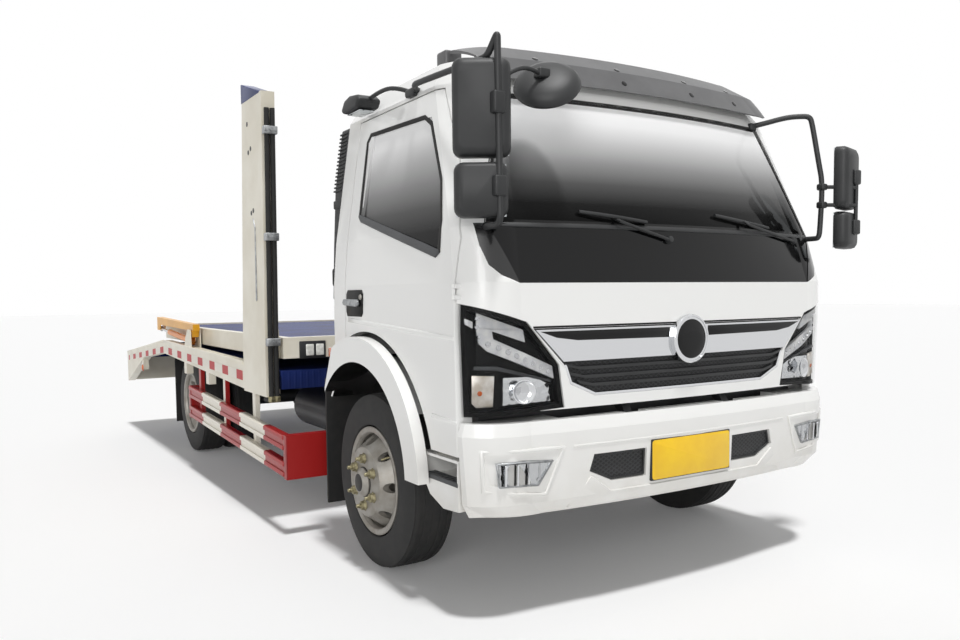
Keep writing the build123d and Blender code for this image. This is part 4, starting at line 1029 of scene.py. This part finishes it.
print("side guards")
guardSizes = {
    "front": -680, "rear": -2630, "rise": 75, "rails": ((296, 376), (430, 510)), "flute": (1148, 1158),
    "cap": (1148, 1154), "capLong": 42, "frontCap": (290, 512), "rearCap": (366, 586),
}
head, tail, lift = guardSizes["front"], guardSizes["rear"], guardSizes["rise"]
for side, sign in flanks:
    near, far = (sign * y for y in guardSizes["flute"])
    rails = []
    for low, high in guardSizes["rails"]:
        for a, b in ((low + 2, low + 26), (high - 26, high - 2)):
            outline = [(tail, a + lift), (head, a + 1.5), (head, b + 1.5), (tail, b + lift)]
            rails.append(cutPlate("flute", outline, "y", near, far, 5, 3))
    settle(together(rails, "guardFlutes" + side), guardBands, "chassis")
    caps = []
    for x, zs in ((head, guardSizes["frontCap"]), (tail, guardSizes["rearCap"])):
        caps.append(sideBox("cap", sign, (x - 2, x + guardSizes["capLong"]), guardSizes["cap"], zs, 3))
    settle(together(caps, "guardEnds" + side), guardPaint, "chassis")

print("decks and posts")
railSizes = {
    "tapes": (
        [(-1350, 782), (-3425, 820), (-3425, 772), (-1350, 728)],
        [(-3435, 820), (-4990, 662), (-4990, 618), (-3435, 772)],
    ),
    "lips": (
        [(-1335, 838), (-3430, 872), (-3430, 852), (-1335, 818)],
        [(-3430, 872), (-5060, 700), (-5060, 680), (-3430, 852)],
    ),
    "lamps": ((-2150, 600), (-2750, 600), (-4350, 590)),
    "lens": [(0, 12), (16, 11), (26, 6), (30, 0), (30, -3), (0, -3)],
}
postSizes = {
    "foot": 850, "tall": 1387, "front": -935, "lean": 42, "clamps": (0.08, 0.47, 0.857),
    "inside": 1078, "face": 1150, "bolts": (1088, 1113, 1140), "fittings": (1098, 1128),
    "fittingSpot": (-918, 672), "ridgeOut": (1149, 1154),
    "cap": [(-1231, 2232), (-928, 2232), (-926, 2241), (-1222, 2334), (-1231, 2334)],
    "ridge": [
        (-1060, 1180), (-1050, 1172), (-1040, 1180), (-1038, 1560), (-1070, 1610), (-1076, 1602),
        (-1050, 1556),
    ],
    "holes": ((-1130, 1960), (-1090, 1975), (-1140, 2110), (-1105, 1640), (-1070, 1650)),
    "hole": [(0, 1.5), (10, 1.5), (13, 0.8), (13, -1), (0, -1)],
    "bolt": [(0, 8), (7, 8), (8, 6), (8, -2), (0, -2)],
    "fitting": [(0, 6), (16, 6), (19, 2), (19, -22), (15, -26), (0, -26)],
}
for side, sign in flanks:
    sight = side.lower()
    inside, face = sign * postSizes["inside"], sign * postSizes["face"]
    tape = [layOn("tape", line, sight, ["lower_rails"], 300, 1.2, 2) for line in railSizes["tapes"]]
    settle(together(tape, "railTape" + side), tapeRedWhite, "chassis")
    lips = [layOn("lip", line, sight, ["lower_rails"], 300, 4, 6, edge=2) for line in railSizes["lips"]]
    settle(together(lips, "railLip" + side), deckCream, "chassis")
    cap = cutPlate("postCap" + side, postSizes["cap"], "y", inside, face + sign * 2, 3)
    settle(cap, deckBlue, "chassis")
    plates = []
    for share in postSizes["clamps"]:
        z = postSizes["foot"] + share * postSizes["tall"]
        x = postSizes["front"] + share * postSizes["lean"]
        strap = [(x + 2, z - 20), (x + 38, z - 20), (x + 40, z + 20), (x + 4, z + 20)]
        plates.append(cutPlate("clamp", strap, "y", inside, face, 4, 3))
        for y in postSizes["bolts"]:
            plates.append(spun("bolt", postSizes["bolt"], at(x + 39, sign * y, z), (1, 0, 0), 6))
    settle(together(plates, "hoseClamps" + side), galvanised, "chassis")
    # black discs on the post face for its holes: painted shade inside the holes
    holes = []
    for x, z in postSizes["holes"]:
        holes.append(spun("hole", postSizes["hole"], at(x, face, z), (0, sign, 0), 18))
    settle(together(holes, "postHoles" + side), frameBlack, "chassis")
    near, far = (sign * y for y in postSizes["ridgeOut"])
    ridge = cutPlate("postRidge" + side, postSizes["ridge"], "y", near, far, 2)
    settle(ridge, galvanised, "chassis")
    fittings = []
    x, z = postSizes["fittingSpot"]
    for y in postSizes["fittings"]:
        fittings.append(spun("fitting", postSizes["fitting"], at(x, sign * y, z), (0, 0, 1), 6))
    settle(together(fittings, "hoseFittings" + side), zincNut, "chassis", "rod_steel")
    lenses = []
    for x, z in railSizes["lamps"]:
        hit = nodes["deck_lamps"].ray_cast(at(x, sign * 2500, z), Vector((0, -sign, 0)))
        if hit[0]:
            lenses.append(spun("lens", railSizes["lens"], hit[1], (0, sign, 0), 28))
    if lenses:
        settle(together(lenses, "deckLampLenses" + side), amberLens, "chassis")
deckLampSizes = {
    "spot": (906, 914), "frame": (833, 979, 868, 960),
    "lenses": ((846, 890, 884, 944), (902, 946, 884, 944)),
}
frames, lights = [], []
for sign in (-1, 1):
    y, z = deckLampSizes["spot"]
    hit = nodes["upper_frame"].ray_cast(at(2500, sign * y, z), lookBack)
    x = (hit[1].x - axleX) * 1000
    near, far, low, high = deckLampSizes["frame"]
    outline = oblong(sign * near, sign * far, low, high)
    frames.append(cutPlate("deckLampFrame", outline, "x", x - 2, x + 10, 4))
    for near, far, low, high in deckLampSizes["lenses"]:
        outline = oblong(sign * near, sign * far, low, high)
        lights.append(cutPlate("lens", outline, "x", x + 8, x + 18, 5, 3))
settle(together(frames, "deckLampFrames"), frameBlack, "upper_deck")
settle(together(lights, "deckLampLights"), whiteLens, "upper_deck")

print("tail lamps")
tailSizes = {
    "base": ((-5078, -5062), (760, 1060), (500, 620), 5), "along": (-5090, -5074), "high": (510, 610),
}
tailLenses = (
    ("Stop", (960, 1050), redLens), ("Turn", (868, 954), amberLens), ("Back", (772, 862), whiteLens),
)
for side, sign in flanks:
    settle(sideBox("tailLampBase" + side, sign, *tailSizes["base"]), blackPlastic, "chassis")
    for name, across, mat in tailLenses:
        name = "tailLamp" + name + side
        settle(sideBox(name, sign, tailSizes["along"], across, tailSizes["high"], 6, 3), mat, "chassis")

print("seats")
seatSizes = {
    "y": 590, "baseHalf": 170, "base": [(-120, 861), (300, 861), (318, 900), (318, 958), (-130, 958)],
}
seatPads = (  # name, reach along, half width, reach up, crown, channels, place and tilt
    ("seatCushion", (-150, 338), 232, (962, 1080), 12, (-0.45, 0.45), None, 0),
    ("seatBack", (-150, 420), 230, (0, 100), 12, (-0.4, 0.4), (-118, 0, 1210), -85),
    ("seatHead", (-70, 76), 122, (0, 70), 8, (), (-222, 0, 1716), -86),
)


# a pad tipped about its middle and set in its place
def lean(pad, spot, degrees, middle):
    turn = Matrix.Rotation(math.radians(degrees), 4, "Y")
    pad.data.transform(Matrix.Translation(spot) @ turn @ Matrix.Translation(-at(0, 0, middle)))


# a stuffed form: a bevelled box, subdivided and crowned, with sewn channels pressed in along it
def stuffed(name, xs, ys, zs, crown, channels):
    pad = box(name, xs, ys, zs, 26, 4)
    pick(pad)
    openMesh()
    for i in range(1, 14):
        y = ys[0] + (ys[1] - ys[0]) * i / 14
        bpy.ops.mesh.select_all(action="SELECT")
        bpy.ops.mesh.bisect(plane_co=at(0, y, 0), plane_no=(0, 1, 0))
    for i in range(1, 10):
        x = xs[0] + (xs[1] - xs[0]) * i / 10
        bpy.ops.mesh.select_all(action="SELECT")
        bpy.ops.mesh.bisect(plane_co=at(x, 0, 0), plane_no=(1, 0, 0))
    shutMesh()
    middle = (sum(xs) / 2, sum(ys) / 2)
    for vert in pad.data.vertices:
        x, y, z = (vert.co.x - axleX) * 1000, vert.co.y * 1000, vert.co.z * 1000
        u, v = (x - middle[0]) / (xs[1] - xs[0]) * 2, (y - middle[1]) / (ys[1] - ys[0]) * 2
        if z > sum(zs) / 2:
            seam = sum(math.exp(-((v - c) / 0.06) ** 2) for c in channels) * 9
            vert.co.z += (crown * (1 - u * u) * (1 - v * v) - seam * (1 - u ** 4)) / 1000
        vert.co.y -= 0.008 * math.copysign(1, v) * (1 - u * u) if abs(v) > 0.96 else 0
    applyModifier(pad, "SUBSURF", levels=1, render_levels=1)
    return pad


for side, sign in flanks:
    y, half = sign * seatSizes["y"], seatSizes["baseHalf"]
    base = cutPlate("seatBase" + side, seatSizes["base"], "y", y - half, y + half, 8)
    settle(base, blackPlastic, "cab")
    for name, xs, half, zs, crown, channels, spot, tilt in seatPads:
        pad = stuffed(name + side, xs, (y - half, y + half), zs, crown, channels)
        if spot:
            lean(pad, at(*spot), tilt, sum(zs) / 2)
        settle(pad, seatCloth, "cab", smooth=60)
    if side == "Right":
        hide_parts("seats")

print("dashboard")
dashSizes = {
    "vents": (-560, -300, 300, 780), "ventHalf": 60, "ventHigh": (1330, 1372),
    "screen": (-120, 120, 1310, 1385),
}
vents = []
for y in dashSizes["vents"]:
    outline = oblong(y - dashSizes["ventHalf"], y + dashSizes["ventHalf"], *dashSizes["ventHigh"])
    vents.append(cutPlate("vent", outline, "x", 562, 572, 4))
settle(together(vents, "dashVents"), blackPlastic, "cab")
settle(cutPlate("dashScreen", oblong(*dashSizes["screen"]), "x", 556, 568, 5), glossBlack, "cab")

print("camera, light and floor")
view = {
    "place": (5.3503, -2.5012, 1.1993), "yaw": 148.237, "pitch": -3.674, "roll": -0.645, "focalPx": 829.7,
    "centrePx": (471.6, 347.1)
}
yaw, pitch, roll = (math.radians(view[k]) for k in ("yaw", "pitch", "roll"))
ahead = Vector((math.cos(yaw) * math.cos(pitch), math.sin(yaw) * math.cos(pitch), math.sin(pitch)))
right = ahead.cross(Vector((0, 0, 1))).normalized()
up = right.cross(ahead)
rightTurned = right * math.cos(roll) + up * math.sin(roll)
upTurned = up * math.cos(roll) - right * math.sin(roll)
bpy.ops.object.camera_add()
camera = bpy.context.object
camera.matrix_world = Matrix.Translation(view["place"]) @ Matrix(
    (rightTurned, upTurned, -ahead)
).transposed().to_4x4()
camera.data.sensor_width = 36
camera.data.lens = view["focalPx"] / 960 * 36
camera.data.shift_x = (480 - view["centrePx"][0]) / 960
camera.data.shift_y = (view["centrePx"][1] - 320) / 960
camera.data.clip_end = 200
bpy.context.scene.camera = camera
bpy.context.scene.view_settings.view_transform = "Standard"

bpy.ops.mesh.primitive_plane_add(size=120)
floor = bpy.context.object
floor.name = "studioFloor"
floorMat, shader, place = startMaterial("matt white floor", "#F4F4F4", 0.95)
grain(floorMat, shader, place, 40, 0.02)
rays = addNode(floorMat, "LightPath")
glow = addNode(floorMat, "Math", {1: 0.06}, {0: rays.outputs["Is Camera Ray"]}, operation="MULTIPLY")
shader.inputs["Emission Color"].default_value = (1, 1, 1, 1)
link(floorMat, glow.outputs[0], shader.inputs["Emission Strength"])
floor.data.materials.append(floorMat)

suns = (  # name, from where, strength, softness in degrees
    ("topSun", (0.24, -0.02, 1.0), 2.15, 6),
    ("frontSun", (0.75, -0.64, 0.30), 1.05, 30),
    ("backSun", (-0.75, 0.5, 0.45), 0.3, 40),
)
for name, spot, strength, soft in suns:
    bpy.ops.object.light_add(type="SUN", location=(spot[0] * 8, spot[1] * 8, spot[2] * 8))
    lamp = bpy.context.object
    lamp.name = name
    lamp.data.energy = strength
    lamp.data.angle = math.radians(soft)
    lamp.rotation_euler = Vector(spot).to_track_quat("Z", "Y").to_euler()
world = bpy.data.worlds.new("studio")
bpy.context.scene.world = world
world.use_nodes = True
sky = world.node_tree.nodes["Background"]
sky.inputs["Color"].default_value = (1, 1, 1, 1)
rays = addNode(world, "LightPath")
seen = addNode(
    world, "Math", None, {0: rays.outputs["Is Camera Ray"], 1: rays.outputs["Is Glossy Ray"]},
    operation="MAXIMUM"
)
through = addNode(
    world, "Math", None, {0: seen.outputs[0], 1: rays.outputs["Is Transmission Ray"]}, operation="MAXIMUM"
)
strength = addNode(world, "MapRange", {"To Min": 0.15, "To Max": 1.0}, {"Value": through.outputs[0]})
link(world, strength.outputs["Result"], sky.inputs["Strength"])
